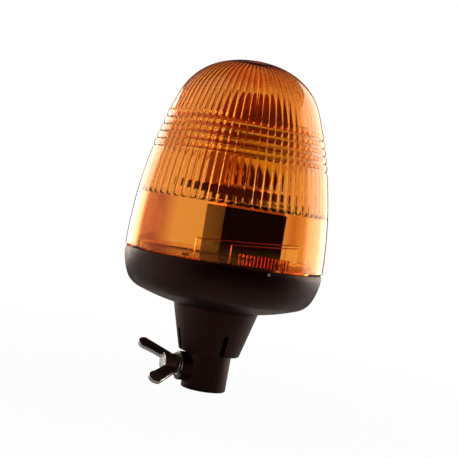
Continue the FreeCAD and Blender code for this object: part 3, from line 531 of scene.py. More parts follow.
lensForm = {
    "wall": 3.2, "sideRadius": 297.0, "sideTurn": 20.5, "shoulderRadius": 41.0, "shoulderTurn": 70.5,
    "footChamfer": 1.3, "bodyGap": 0.3, "stepCount": 6, "firstStep": 67.0, "stepPitch": 4.9,
    "stepRise": 1.2, "stepRounding": 0.4, "stepBelly": 0.42, "beadRadius": 0.3, "beadSides": 8,
    "fluteCount": 66, "segmentsPerFlute": 8, "fluteDepth": 0.018, "fluteFoot": 36.5,
    "fluteTopRadius": 19.0, "panelStart": -131.0, "panelEnd": -72.0, "panelFade": 8.0,
    "panelFoot": 1.7, "panelTop": 13.6, "panelDepth": 0.6, "innerPanelStart": -112.0,
    "innerPanelTop": 11.0, "innerPanelDepth": 0.36, "panelLift": 0.076, "innerPanelLift": 0.09,
    "liftEnd": 26.0, "liftFade": 40.0, "sharpOver": 7.0, "sharpAngle": 14, "gripStart": -106.9,
    "gripPitch": 2.1, "gripWidth": 1.1, "gripTop": 8.2, "gripHeight": 0.62, "gripRoot": 0.25,
    "lugCount": 3, "lugStart": 50.0, "lugAngle": 18.0, "lugReach": 1.7, "lugLow": 1.3, "lugThick": 1.9,
}


class LensShape:
    # the three tangent arcs of the lens, heights measured from the rim in millimetres

    def __init__(self, form):
        low, high = nodeBox("lens")
        self.form = form
        self.radius = (high.x - low.x) / 2 / mm
        self.rim = low.z / mm - form["bodyGap"]
        self.turn1 = math.radians(form["sideTurn"])
        self.turn2 = math.radians(form["shoulderTurn"])
        side = form["sideRadius"]
        shoulder = form["shoulderRadius"]
        self.sideX = self.radius - side
        self.shoulderX = self.sideX + (side - shoulder) * math.cos(self.turn1)
        self.shoulderH = (side - shoulder) * math.sin(self.turn1)
        self.crown = shoulder + self.shoulderX / math.cos(self.turn2)
        self.crownH = self.shoulderH - (self.crown - shoulder) * math.sin(self.turn2)

    def at(self, height, inset=0.0):
        side = self.form["sideRadius"] - inset
        shoulder = self.form["shoulderRadius"] - inset
        crown = self.crown - inset
        if height <= side * math.sin(self.turn1):
            return self.sideX + math.sqrt(side ** 2 - height ** 2)
        if height <= self.shoulderH + shoulder * math.sin(self.turn2):
            return self.shoulderX + math.sqrt(shoulder ** 2 - (height - self.shoulderH) ** 2)
        return math.sqrt(max(crown ** 2 - (height - self.crownH) ** 2, 0.0))

    def top(self, inset=0.0):
        return self.crownH + self.crown - inset

    def fluteTop(self):
        crown = self.crown - self.form["wall"]
        return self.crownH + math.sqrt(crown ** 2 - self.form["fluteTopRadius"] ** 2)

    def heights(self, low, high, spacing, inset=0.0):
        # heights about evenly spaced along the curve, ends included
        fine = 400
        path = [(self.at(low, inset), low)]
        length = [0.0]
        for index in range(1, fine + 1):
            share = 1 - (1 - index / fine) ** 2
            height = low + (high - low) * share
            point = (self.at(height, inset), height)
            length.append(length[-1] + math.hypot(point[0] - path[-1][0], point[1] - path[-1][1]))
            path.append(point)
        count = max(2, round(length[-1] / spacing))
        result = []
        cursor = 0
        for index in range(count + 1):
            target = length[-1] * index / count
            while cursor < fine and length[cursor + 1] < target:
                cursor += 1
            cursor = min(cursor, fine - 1)
            step = length[cursor + 1] - length[cursor]
            share = (target - length[cursor]) / step if step else 0.0
            result.append(path[cursor][1] + (path[cursor + 1][1] - path[cursor][1]) * share)
        return result


def outerLensProfile(shape):
    form = shape.form
    gap = form["bodyGap"]
    foot = shape.at(gap)
    corners = [(foot - form["footChamfer"], gap, 0), (foot, gap + form["footChamfer"], 0.3)]
    first = form["firstStep"] - form["stepRise"] / 2
    marks = [form["panelFoot"] + 0.3, form["innerPanelTop"] - 0.2, form["innerPanelTop"] + 0.2,
             form["panelTop"] - 0.2, form["panelTop"] + 0.2]
    smooth = shape.heights(form["panelTop"] + 2.0, first, 4.5)
    for height in marks + smooth[:-1]:
        corners.append((shape.at(height), height, 0))
    corners.append((shape.at(first), first, form["stepRounding"]))
    for index in range(form["stepCount"] - 1):
        low = form["firstStep"] + index * form["stepPitch"]
        radius = shape.at(low + form["stepPitch"] / 2)
        start = low + form["stepRise"] / 2
        length = form["stepPitch"] - form["stepRise"]
        for step in range(7):  # each ring is a shallow barrel
            share = step / 6
            belly = form["stepBelly"] * (4 * share * (1 - share) - 0.6)
            rounding = form["stepRounding"] if step in (0, 6) else 0
            corners.append((radius + belly, start + length * share, rounding))
    last = form["firstStep"] + (form["stepCount"] - 1) * form["stepPitch"] + form["stepRise"] / 2
    corners.append((shape.at(last), last, form["stepRounding"]))
    for height in shape.heights(last, shape.top(), 3.6)[1:-1]:
        corners.append((shape.at(height), height, 0))
    corners.append((0, shape.top(), 0))
    lifted = [(x, z + shape.rim, rounding) for x, z, rounding in corners]
    return softened(lifted, steps=3)


def innerLensProfile(shape):
    # from the top down to the foot; closer rows where the flutes end
    form = shape.form
    wall = form["wall"]
    foot = form["fluteFoot"]
    top = shape.fluteTop()
    half = math.pi * shape.at(foot, wall) / form["fluteCount"]
    ends = [foot + half * share for share in (0.0, 0.04, 0.12, 0.24, 0.4, 0.6, 0.85, 1.2)]
    low = [form["bodyGap"]] + shape.heights(4.0, foot - 1.0, 6.0, wall) + [foot - 0.3]
    middle = shape.heights(ends[-1] + 1.0, top - 1.4, 2.3, wall)
    cap = [top - 0.9, top - 0.4, top, top + 0.35]
    cap += shape.heights(top + 1.0, shape.top(wall), 3.6, wall)[:-1]
    points = [Vector((0, shape.top(wall) + shape.rim)) * mm]
    for height in reversed(low + ends + middle + cap):
        points.append(Vector((shape.at(height, wall), height + shape.rim)) * mm)
    return points


def panelLift(form, angle, height):
    # how far a point of the foot rises so that the panels' tops climb along their length
    along = min(max(angle - form["panelStart"], 0.0), form["panelEnd"] - form["panelStart"])
    past = max(angle - form["panelEnd"], 0.0)
    along *= max(0.0, 1 - past / form["liftFade"])
    marks = [(form["panelFoot"] + 0.3, 0.0), (form["innerPanelTop"], form["innerPanelLift"]),
             (form["panelTop"], form["panelLift"]), (form["liftEnd"], 0.0)]
    for (low, first), (high, last) in zip(marks, marks[1:]):
        if low <= height <= high:
            return along * (first + (last - first) * (height - low) / (high - low))
    return 0.0


def pressPanels(work, shape):
    # two shallow stepped panels in the outside of the foot
    form = shape.form
    low = shape.rim + form["panelFoot"]
    for vertex in work.verts:
        x, y, z = vertex.co
        radius = math.hypot(x, y)
        height = z / mm
        above = height - shape.rim
        if not form["panelFoot"] <= above <= form["liftEnd"] or radius < (shape.at(above) - 1.0) * mm:
            continue
        angle = math.degrees(math.atan2(y, x))
        lift = panelLift(form, angle, above)
        if lift:
            share = shape.at(above + lift) / shape.at(above)
            vertex.co = (x * share, y * share, z + lift * mm)
            x, y, z = vertex.co
            radius = math.hypot(x, y)
        if height < low or height > shape.rim + form["panelTop"]:
            continue
        if not form["panelStart"] <= angle <= form["panelEnd"]:
            continue
        depth = form["panelDepth"]
        fade = min(1.0, (form["panelEnd"] - angle) / form["panelFade"])
        if angle >= form["innerPanelStart"] and height < shape.rim + form["innerPanelTop"]:
            depth += form["innerPanelDepth"]
        share = (radius - depth * fade * mm) / radius
        vertex.co.x = x * share
        vertex.co.y = y * share


def makeLens():
    shape = LensShape(lensForm)
    form = lensForm
    outer = outerLensProfile(shape)
    inner = innerLensProfile(shape)
    around = form["fluteCount"] * form["segmentsPerFlute"]
    work = lathe(list(reversed(outer)) + list(reversed(inner)), around)
    low = (shape.rim + form["fluteFoot"]) * mm
    high = (shape.rim + shape.fluteTop()) * mm
    layer = work.verts.layers.float.new("flutedWall")
    for vertex in work.verts:
        height = vertex.co.z / mm - shape.rim
        radius = math.hypot(vertex.co.x, vertex.co.y) / mm
        middle = shape.at(min(height, shape.top()), form["wall"] / 2)
        if low - 1e-7 <= vertex.co.z <= high and radius < middle:
            vertex[layer] = 1.0
    pressPanels(work, shape)
    piece = finishMesh(work, "amberLens", 60.0)
    fluteTree().applyTo(piece, {
        "Count": form["fluteCount"], "Depth": form["fluteDepth"], "Foot": low, "Top": high,
        "TopEnd": 1.0 * mm, "Material": amberPlastic})
    sharpenFoot(piece, shape)
    return shape, dress(piece, amberPlastic, "cover", "amber", "lens")


def makeGripRibs(shape):
    form = lensForm
    count = int((form["panelEnd"] - 2.0 - form["gripStart"]) / form["gripPitch"])
    width = form["gripWidth"]
    floorR = shape.radius - form["panelDepth"] - form["innerPanelDepth"]
    top = form["gripHeight"]
    right = [(width / 2, -form["gripRoot"]), (width / 2 * 0.8, top - 0.2), (width / 2 * 0.4, top)]
    left = [(-x, y) for x, y in right]
    low = shape.rim + form["panelFoot"] + 0.1
    height = form["gripTop"] - form["panelFoot"] - 0.1
    work = spun(prism([left[0]] + right + list(reversed(left[1:])), height), -90, "Z")
    # the ribs are the lens's own amber; their deeper red is painted shade
    ribs = ringPiece("lensGripRibs", work, amberShadedOutline, count, floorR, form["gripStart"],
                     form["gripPitch"], low + height / 2)
    return dress(ribs, amberShadedOutline, "cover", "amber")


def makePanelBeads(shape):
    # the raised bead along the left side and top of each pressed panel
    form = lensForm
    works = []
    for start, top, depth in ((form["panelStart"], form["panelTop"], 0.0),
                              (form["innerPanelStart"], form["innerPanelTop"], form["panelDepth"])):
        path = []
        for step in range(9):
            path.append((start, form["panelFoot"] + (top - form["panelFoot"]) * step / 8))
        count = round((form["panelEnd"] - start) / 1.5)
        for step in range(1, count + 1):
            path.append((start + (form["panelEnd"] - start) * step / count, top))
        works.append(beadAlong(shape, path, depth))
    # the beads take the deeper red amber, painted shade along their outlines
    return dress(finishMesh(joined(works), "lensPanelBeads", 60.0), amberShadedOutline, "cover", "amber")


def beadAlong(shape, path, depth):
    # a closed round bead whose middle follows points given as angle and height above the rim
    centres = []
    for angle, height in path:
        height += panelLift(lensForm, angle, height)
        radius = shape.at(height) - depth - 0.05
        turn = math.radians(angle)
        centre = Vector((radius * math.cos(turn), radius * math.sin(turn), shape.rim + height))
        centres.append(centre * mm)
    work = bmesh.new()
    rings = []
    size = lensForm["beadRadius"] * mm
    sides = lensForm["beadSides"]
    for index, centre in enumerate(centres):
        before = centres[max(index - 1, 0)]
        after = centres[min(index + 1, len(centres) - 1)]
        along = (after - before).normalized()
        out = Vector((centre.x, centre.y, 0)).normalized()
        across = along.cross(out).normalized()
        rings.append([work.verts.new(centre + (out * math.cos(turn) + across * math.sin(turn)) * size)
                      for turn in (2 * math.pi * step / sides for step in range(sides))])
    return stitchAll(work, rings)


def sharpenFoot(piece, shape):
    # the panels' steps keep crisp edges
    form = lensForm
    work = bmesh.new()
    work.from_mesh(piece.data)
    limit = math.radians(form["sharpAngle"])
    top = (shape.rim + form["panelTop"] + form["sharpOver"]) * mm
    inside = (shape.radius - form["wall"] + 0.8) * mm
    for edge in work.edges:
        middle = (edge.verts[0].co + edge.verts[1].co) / 2
        outside = math.hypot(middle.x, middle.y) > inside
        if middle.z < top and outside and edge.calc_face_angle(0.0) > limit:
            edge.smooth = False
    work.to_mesh(piece.data)
    work.free()


def makeLensLugs(shape):
    form = lensForm
    inner = shape.at(2.0, form["wall"])
    half = form["lugAngle"] / 2
    outline = circlePoints((-inner, 0), inner - form["lugReach"], -half, half, 12)
    outline += circlePoints((-inner, 0), inner + 0.3, half, -half, 12)
    height = shape.rim + form["lugLow"] + form["lugThick"] / 2
    lugs = ringPiece("lensBayonetLugs", prism(outline, form["lugThick"]), amberPlastic, form["lugCount"],
                     inner, form["lugStart"], 360.0 / form["lugCount"], height)
    return dress(lugs, amberPlastic, "cover", "amber")


lensShape, amberLens = makeLens()
makeGripRibs(lensShape)
makePanelBeads(lensShape)
makeLensLugs(lensShape)
print("lens ready:", len(amberLens.data.polygons), "faces")


# the base bowl

bowlForm = {
    "rimRadius": 65.3, "wall": 2.6, "sideRadius": 41.0, "sideTurn": 25.0, "edgeRadius": 14.5,
    "edgeTurn": 74.0, "floorSag": 0.6, "coneRadius": 28.2, "holeRadius": 24.32, "padRadius": 36.0,
    "shelfThick": 3.0, "upstandInner": 57.5, "upstandThick": 2.5, "grooveInner": 62.3,
    "grooveWidth": 1.9, "grooveDepth": 1.2, "lipDrop": 3.0, "drainRadius": 1.2, "drainRing": 46.0,
    "drainAngle": -63.0, "drainSpan": (40.0, 75.0), "lugReach": 1.5, "lugAngle": 20.0, "lugLow": 3.5,
    "lugRoot": 0.6, "markAngle": -89.0, "markDrop": 2.1, "markSize": 1.9, "markThick": 0.5,
}


def bowlArc(form, rim, inset):
    side = form["sideRadius"] - inset
    edge = form["edgeRadius"] - inset
    turn1 = math.radians(form["sideTurn"])
    turn2 = math.radians(form["edgeTurn"])
    centreX = form["rimRadius"] - form["sideRadius"]
    edgeX = centreX + (form["sideRadius"] - form["edgeRadius"]) * math.cos(turn1)
    edgeZ = rim - (form["sideRadius"] - form["edgeRadius"]) * math.sin(turn1)
    points = []
    for index in range(9):
        turn = turn1 * index / 8
        points.append((centreX + side * math.cos(turn), rim - side * math.sin(turn)))
    for index in range(1, 13):
        turn = turn1 + (turn2 - turn1) * index / 12
        points.append((edgeX + edge * math.cos(turn), edgeZ - edge * math.sin(turn)))
    return points


def bowlFloor(form, start, floorZ, count=10):
    # the shallow arc from the bowl's edge in to the rubber cone
    end = (form["coneRadius"], floorZ)
    points = []
    for index in range(1, count + 1):
        share = index / count
        sag = 4 * form["floorSag"] * share * (1 - share)
        points.append((start[0] + (end[0] - start[0]) * share,
                       start[1] + (end[1] - start[1]) * share - sag))
    return points


def makeBowl():
    form = bowlForm
    low, high = nodeBox("base_housing")
    floorZ = low.z / mm
    top = high.z / mm
    rim = lensShape.rim
    outer = bowlArc(form, rim, 0)
    inner = bowlArc(form, rim, form["wall"])
    shelfZ = rim - form["shelfThick"]
    corners = [(x, z, 0) for x, z in outer if z < rim - form["lipDrop"] - 0.3]
    corners += [(x, z, 0) for x, z in bowlFloor(form, outer[-1], floorZ)]
    pad = floorZ + form["wall"]
    corners += [(form["holeRadius"], floorZ, 0), (form["holeRadius"], pad, 0),
                (form["padRadius"], pad, 0)]
    corners += [(x, z, 0) for x, z in reversed(inner) if z < shelfZ]
    upOuter = form["upstandInner"] + form["upstandThick"]
    grooveOuter = form["grooveInner"] + form["grooveWidth"]
    corners += [(inner[0][0] - 0.1, shelfZ, 0), (form["upstandInner"], shelfZ, 0.3),
                (form["upstandInner"], rim, 0), (form["grooveInner"], rim, 0.1),
                (form["grooveInner"], rim - form["grooveDepth"], 0.1),
                (grooveOuter, rim - form["grooveDepth"], 0.1)]
    dropTurn = math.asin(form["lipDrop"] / form["sideRadius"])
    lipReach = form["rimRadius"] - form["sideRadius"] * (1 - math.cos(dropTurn)) - grooveOuter
    for index in range(9):  # the rim's edge is a rounded lip, taller than it is wide
        turn = math.pi / 2 * index / 8
        corners.append((grooveOuter + lipReach * math.sin(turn),
                        rim - form["lipDrop"] * (1 - math.cos(turn)), 0))
    bowl = finishMesh(lathe(softened(corners, closed=True), 256, closed=True), "baseBowl", 40.0)
    collar = [(form["upstandInner"], rim + 0.01, 0), (form["upstandInner"], top, 0.4),
              (upOuter, top, 0.4), (upOuter, rim + 0.01, 0)]
    works = [lathe(softened(collar, closed=True), 256, closed=True)]
    half = form["lugAngle"] / 2
    for index in range(lensForm["lugCount"]):
        middle = lensForm["lugStart"] + 360.0 * index / lensForm["lugCount"]
        outline = circlePoints((0, 0), upOuter + form["lugReach"], middle - half, middle + half, 12)
        outline += circlePoints((0, 0), upOuter - form["lugRoot"], middle + half, middle - half, 12)
        lug = prism(outline, top - rim - form["lugLow"])
        works.append(shifted(lug, 0, 0, (top + rim + form["lugLow"]) / 2))
    dress(finishMesh(joined(works), "bayonetCollar", 40.0), amberPale, "base", "amber")
    drills = []
    below, above = (height * mm for height in form["drainSpan"])
    for turn in (0.0, 180.0):
        angle = math.radians(form["drainAngle"] + turn)
        size = form["drainRadius"] * mm
        drill = lathe([(0, below), (size, below), (size, above), (0, above)], 24)
        ring = form["drainRing"]
        drills.append(shifted(drill, ring * math.cos(angle), ring * math.sin(angle), 0))
    cutWith(bowl, drills)
    shadeByAngle(bowl, 40.0)
    return dress(bowl, blackMoulding, "base", "black_moulding", "base_housing")


def makeMark():
    # the small moulded pointer under the rim that shows where the lens locks
    form = bowlForm
    size = form["markSize"]
    work = prism([(-size / 2, 0), (size / 2, 0), (0, size)], form["markThick"])
    drop = form["markDrop"]
    turn = math.asin(drop / form["sideRadius"])
    radius = form["rimRadius"] - form["sideRadius"] * (1 - math.cos(turn))
    spun(spun(work, 90, "X"), 90, "Z")
    spun(shifted(work, radius, 0, lensShape.rim - drop - 0.4), form["markAngle"], "Z")
    return dress(finishMesh(work, "rimPointer"), markWhite, "base", "black_moulding")


makeBowl()
makeMark()
print("base bowl ready")


# the socket tube, rubber cone and clamping screw

stemForm = {
    "sleeveRadius": 14.8, "sleeveTaper": 0.4, "coneBottom": 24.3, "coneBottomRadius": 20.0,
    "mouthRounding": 0.9, "mouthChamfer": 0.5, "socketRadius": 12.5, "socketDepth": 45.0,
    "chamberRadius": 9.0, "chamberTop": 50.0, "flangeReach": 4.0, "flangeTop": 53.0,
    "throatRadius": 3.6, "neckRadius": 24.3, "bossRadius": 8.0, "bossDrop": 2.9, "bossReach": 20.3,
    "screwHeight": 15.5, "insertRadius": 6.22, "insertStart": 5.0, "slitCount": 4, "slitWidth": 3.2,
    "slitTop": 37.5, "coneRounding": 1.1, "fit": 0.02, "voxel": 0.45,
}


def barrelAlongScrew(radius, start, end):
    # a closed cylinder on the clamping screw's axis, in metres
    work = lathe([(0, start), (radius, start), (radius, end), (0, end)], 96)
    return shifted(spun(work, -90, "Y"), 0, 0, stemForm["screwHeight"])


def makeSleeve():
    form = stemForm
    top = form["sleeveRadius"] + form["sleeveTaper"]
    flange = top + form["flangeReach"]
    tube = [(form["sleeveRadius"], 0, form["mouthRounding"]), (top, form["coneBottom"], 0),
            (top, form["chamberTop"], 0.3), (flange, form["chamberTop"], 0.3),
            (flange, form["flangeTop"], 0.3), (0, form["flangeTop"], 0)]
    outside = lathe([(0, 0)] + softened([(0.01, 0, 0)] + tube), 160)
    reach = form["bossReach"]
    outline = circlePoints((0, 0), form["bossRadius"], 0, 180, 28)
    outline += circlePoints((0, -form["bossDrop"]), form["bossRadius"], 180, 360, 28)
    boss = shifted(prism(outline, reach - 10), 0, 0, (reach + 10) / 2)
    moved(boss, Matrix(((0, 0, -1, 0), (1, 0, 0, 0), (0, 1, 0, 0), (0, 0, 0, 1))))
    shifted(boss, 0, 0, form["screwHeight"])
    piece = finishMesh(joined([outside, boss]), "poleSleeve")
    fusedByVoxels(piece, form["voxel"] * mm, 3)
    socket, chamber, throat = form["socketRadius"], form["chamberRadius"], form["throatRadius"]
    mouth = form["mouthChamfer"]
    bore = [(0, -1), (socket + mouth, -1), (socket + mouth, 0), (socket, mouth),
            (socket, form["socketDepth"]), (chamber, form["socketDepth"]),
            (chamber, form["chamberTop"]), (throat, form["chamberTop"]),
            (throat, form["flangeTop"] + 1), (0, form["flangeTop"] + 1)]
    # two cuts, because one cutter made of both leaves a plug where they cross
    cutWith(piece, [lathe([(x * mm, z * mm) for x, z in bore])])
    cutWith(piece, [barrelAlongScrew(form["insertRadius"] * mm, form["insertStart"] * mm, (reach + 1) * mm)])
    shadeByAngle(piece, 40.0)
    return dress(piece, blackMoulding, "base", "black_moulding", "pole_sleeve")


def slitWork(form):
    # a slot with a round top through one side of the cone
    half = form["slitWidth"] / 2
    outline = [(-half, -3), (half, -3)]
    outline += circlePoints((0, form["slitTop"] - form["coneBottom"]), half, 0, 180, 14)
    work = moved(prism(outline, 20), Matrix(((0, 0, 1, 0), (1, 0, 0, 0), (0, 1, 0, 0), (0, 0, 0, 1))))
    inner = form["sleeveRadius"] + form["sleeveTaper"] - 0.6
    return shifted(work, inner + 10, 0, form["coneBottom"])


def makeCone():
    form = stemForm
    high = nodeBox("rubber_mount")[1]
    top = high.z / mm
    floorZ = nodeBox("base_housing")[0].z / mm
    pad = floorZ + bowlForm["wall"]
    flange = high.x / mm
    fit = form["fit"]
    inner = form["sleeveRadius"] + form["sleeveTaper"] + fit
    flangeIn = inner + form["flangeReach"]
    bottom, neck = form["coneBottom"], form["neckRadius"]
    low, high = form["chamberTop"] - fit, form["flangeTop"] + fit
    corners = [(inner, bottom, 0.2), (form["coneBottomRadius"], bottom, form["coneRounding"]),
               (bowlForm["coneRadius"], floorZ - fit, 0.3), (neck, floorZ - fit, 0), (neck, pad + fit, 0),
               (flange, pad + fit, 0.4), (flange, top, 0.4), (inner, top, 0.2),
               (inner, high, 0), (flangeIn, high, 0), (flangeIn, low, 0), (inner, low, 0)]
    piece = finishMesh(lathe(softened(corners, closed=True), 200, closed=True), "rubberCone")
    count = form["slitCount"]
    cutWith(piece, [spun(slitWork(form), 360 * index / count, "Z") for index in range(count)])
    shadeByAngle(piece)
    return dress(piece, blackRubber, "base", "rubber", "rubber_mount")


screwForm = {
    "hubStart": 22.6, "hubRadius": 5.9, "hubLength": 9.0, "wingTurn": 57.6, "wingThick": 2.6,
    "tipRadius": 4.9, "tipOut": 8.2, "tipRise": 16.0, "shoulderRise": 8.5, "rootInset": 0.8,
    "rootBow": 0.9, "edgeRounding": 0.8, "voxel": 0.3, "shankRadius": 4.0, "shankTip": 12.8,
    "pitch": 1.25, "threadDepth": 0.62, "tipChamfer": 0.5, "faceLimit": 0.86,
}


def wingOutline(form):
    hub0 = form["hubStart"]
    hub1 = hub0 + form["hubLength"]
    tip = (hub1 + form["tipOut"], form["tipRise"])
    lean = math.degrees(math.atan2(tip[1] - form["shoulderRise"], tip[0] - hub0))
    points = [(hub0 + form["rootInset"], 0), (hub0 + form["rootInset"], form["shoulderRise"])]
    points += circlePoints(tip, form["tipRadius"], lean + 90, lean - 90, 24)
    far = points[-1]
    root = (hub1 - form["rootInset"], form["hubRadius"] * 0.6)
    for index in range(1, 8):
        share = index / 8
        bow = 4 * form["rootBow"] * share * (1 - share)
        points.append((far[0] + (root[0] - far[0]) * share + bow * 0.5,
                       far[1] + (root[1] - far[1]) * share + bow))
    return points + [root, (hub1 - form["rootInset"], 0)]


def makeWingScrew():
    form = screwForm
    works = []
    hub1 = form["hubStart"] + form["hubLength"]
    for side in (1, -1):
        outline = [(along, rise * side) for along, rise in wingOutline(form)]
        if side < 0:
            outline.reverse()
        blade = prism(outline, form["wingThick"])
        edges = [edge for edge in blade.edges if abs(edge.verts[0].co.z - edge.verts[1].co.z) < 1e-6]
        bmesh.ops.bevel(blade, geom=edges, offset=form["edgeRounding"] * mm, segments=3, profile=0.5,
                        affect="EDGES", clamp_overlap=True)
        works.append(blade)
    hubProfile = softened([(0, form["hubStart"], 0), (form["hubRadius"], form["hubStart"], 0.4),
                           (form["hubRadius"] - 0.25, hub1, 0.6), (0, hub1, 0)])
    works.append(spun(lathe(hubProfile, 72), 90, "Y"))
    whole = joined(works)
    # the blades' own frame is (along the axis, across, thickness); put it on -X
    moved(whole, Matrix(((-1, 0, 0, 0), (0, 0, 1, 0), (0, 1, 0, 0), (0, 0, 0, 1))))
    shifted(spun(whole, -form["wingTurn"], "X"), 0, 0, stemForm["screwHeight"])
    piece = fusedByVoxels(finishMesh(whole, "wingScrewHead"), form["voxel"] * mm, 2)
    # the cast zinc is split by face direction: the blades' broad faces and the hub's side get the dark copy, a
    # painted shade, and the rims and the hub's end get the bright copy, a painted highlight
    dress(piece, castPaintedShade, "clamp_screw", "cast_zinc", "wing_screw")
    piece.data.materials.append(castPaintedHighlight)
    normal = Matrix.Rotation(math.radians(-form["wingTurn"]), 3, "X") @ Vector((0, 1, 0))
    axisPoint = Vector((0, 0, stemForm["screwHeight"] * mm))
    for polygon in piece.data.polygons:
        offset = polygon.center - axisPoint
        along = -offset.x / mm
        radial = math.hypot(offset.y, offset.z) / mm
        flat = abs(polygon.normal.dot(normal)) > form["faceLimit"]
        onHub = radial < form["hubRadius"] + 0.25 and along < hub1 - 0.5
        polygon.material_index = 0 if (flat or onHub) and polygon.normal.x > -0.8 else 1
    return piece


def makeShank():
    # a real 60 degree thread form, wound by formula and tapered in at both ends
    form = screwForm
    work = bmesh.new()
    around = 40
    start = form["shankTip"]
    end = form["hubStart"] + 0.4
    rows = int((end - start) / form["pitch"] * 8)
    rings = []
    for row in range(rows + 1):
        along = start + (end - start) * row / rows
        ring = []
        fade = min(1.0, (along - start) / 1.0, (end - along) / 1.5)
        for step in range(around):
            angle = 2 * math.pi * step / around
            phase = (along / form["pitch"] - step / around) % 1.0
            tooth = abs(2 * phase - 1)
            radius = form["shankRadius"] - form["threadDepth"] * (1 - tooth) * max(fade, 0.0)
            if row == 0:
                radius -= form["tipChamfer"]
            radius *= mm
            ring.append(work.verts.new((-along * mm, radius * math.cos(angle), radius * math.sin(angle))))
        rings.append(ring)
    shifted(stitchAll(work, rings), 0, 0, stemForm["screwHeight"])
    return dress(finishMesh(work, "wingScrewShank", 60.0), zincPlate, "clamp_screw", "cast_zinc")


makeSleeve()
makeCone()
makeWingScrew()
makeShank()
print("stem ready")


# CAD pieces kept, smoothed and coated

def smoothCopy(node, name, material, body, sharpAngle=32.0):
    # a merged, smooth-shaded copy of a CAD node stands for its loose triangles
    source = frame["nodes"][node]
    work = bmesh.new()
    work.from_mesh(source.data)
    for vertex in work.verts:
        vertex.co = source.matrix_world @ vertex.co
    bmesh.ops.remove_doubles(work, verts=work.verts, dist=cadMergeGap)
    for face in work.faces:
        face.material_index = 0
    shadeEdges(work, sharpAngle)
    slots = {item["node"]: item["material_slot"] for item in frame["record"]["subparts"]}
    return dress(meshObject(name, meshFrom(work, name)), material, body, slots[node], node)


keptPieces = [
    ("threaded_insert", "screwInsert", zincPlate, "base"),
    ("mount_clamp_ring", "mountClampRing", zincPlate, "base"),
    ("mount_clamp_screws", "mountClampScrews", zincPlate, "base"),
    ("contact_holder", "contactHolder", greyPlastic, "base"),
    ("contact_plunger", "contactPlunger", turnedBrass, "contact"),
    ("seal_ring", "lensSeal", blackRubber, "base"),
    ("chassis_plate", "chassisPlate", plateBlack, "base"),
    ("chassis_screws", "chassisScrews", zincPlate, "base"),
    ("suppressor", "suppressor", greyPlastic, "base"),
    ("drive_housing", "driveHousing", driveBlack, "base"),
    ("gear_plate", "gearPlate", copperPlate, "base"),
    ("gear_plate_screws", "gearPlateScrews", zincPlate, "base"),
    ("motor_can", "motorCan", zincPlate, "base"),
    ("motor_shaft", "motorShaft", plainSteel, "motor_rotor"),
    ("motor_pinion", "motorPinion", turnedBrass, "motor_rotor"),
    ("idler_pin", "idlerPin", plainSteel, "base"),
    ("idler_gear", "idlerGear", gearPlastic, "idler"),
    ("idler_pinion", "idlerPinion", gearPlastic, "idler"),
    ("ring_gear", "ringGear", brownPhenolic, "rotor"),
    ("rotor_bush", "rotorBush", sinteredBronze, "rotor"),
    ("lamp_post", "lampPost", blackMoulding, "base"),
    ("retaining_ring", "retainingRing", plainSteel, "base"),
    ("reflector_bracket", "reflectorBracket", copperPlate, "rotor"),
    ("counterweight", "counterweight", plainSteel, "rotor"),
    ("lamp_holder", "lampHolder", greyPlastic, "base"),
    ("bulb_base", "bulbBase", plainSteel, "base"),
    ("bulb_glass", "bulbGlass", lampGlass, "base"),
    ("bulb_filament", "bulbFilament", filamentMetal, "base"),
    ("bulb_clip", "bulbClip", plainSteel, "base"),
    ("screw_washer", "screwWasher", zincPlate, "clamp_washer"),
]


def makeReflector():
    # one dish: bright inside, brass-coloured outside
    piece = smoothCopy("reflector", "reflectorDish", mirrorBack, "rotor", 40.0)
    piece.data.materials.append(mirrorCoat)
    low, high = nodeBox("bulb_filament")
    focus = Vector(((low.x + high.x) / 2, (low.y + high.y) / 2, high.z - 0.0025))
    for polygon in piece.data.polygons:
        polygon.material_index = int(polygon.normal.dot(focus - polygon.center) > 0)
    return piece


for node, name, material, body in keptPieces:
    smoothCopy(node, name, material, body)
makeReflector()
print("inner pieces ready")


# the floor, world, lights and camera

stageForm = {
    "floorRadius": 1.0, "floorDrop": 0.0002, "floorColour": (0.86, 0.86, 0.86), "nearWhite": 0.965,
    "farWhite": 1.0, "whiteSpan": (0.1, 0.45), "mirroredFloor": (0.10, 0.24), "worldLight": 0.10,
    "backTurn": 65.0, "darkRoom": (0.30, 0.05, 0.10), "paleRoom": (0.95, 0.50, 0.22),
    "darkFront": (0.12, 0.03, 0.04), "darkGloss": (0.050, 0.026, 0.030),
    "lampColour": (1.0, 0.93, 0.82), "lampAim": (0, 0, 0.11),
    # each softbox: size, power, place, and whether reflections and the lens show it
    "lamps": {"leftSoftbox": ((0.75, 0.55), 4.5, (-0.32, 1.05, 0.2), True),
              "rightSoftbox": ((1.2, 0.95), 9.0, (1.06, 0.25, 0.4), True),
              "topSoftbox": ((0.7, 0.7), 2.5, (-0.2, -0.1, 1.2), False)},
    # brightness of the room round the horizon, degrees from the back wall's middle, left is minus
    "seenThrough": [(-180, 0.03), (-95, 0.03), (-75, 1.0), (-14, 1.0), (-11, 0.10), (-6.5, 0.10),
                    (-4.3, 1.0), (4.2, 1.0), (5.0, 0.15), (6.2, 0.15), (7.5, 1.0), (95, 1.0),
                    (115, 0.03), (180, 0.03)],
    "lowFront": [(-180, 1.0), (-110, 1.0), (-90, 0.0), (90, 0.0), (110, 1.0), (180, 1.0)],
    "mirrored": [(-180, 0.0), (-80, 0.0), (-66, 0.3), (-32, 0.3), (-24, 0.0), (22, 0.0), (32, 0.4),
                 (75, 0.5), (90, 0.0), (180, 0.0)],
    "tallWindow": [(-180, 0.0), (-148, 0.0), (-125, 0.4), (-95, 0.6), (-70, 0.5), (-60, 0.0),
                   (180, 0.0)],
    "seenTop": (7.0, 13.0), "mirroredTop": (25.0, 45.0), "tallTop": (58.0, 66.0), "lowTop": (0.0, 4.0),
}


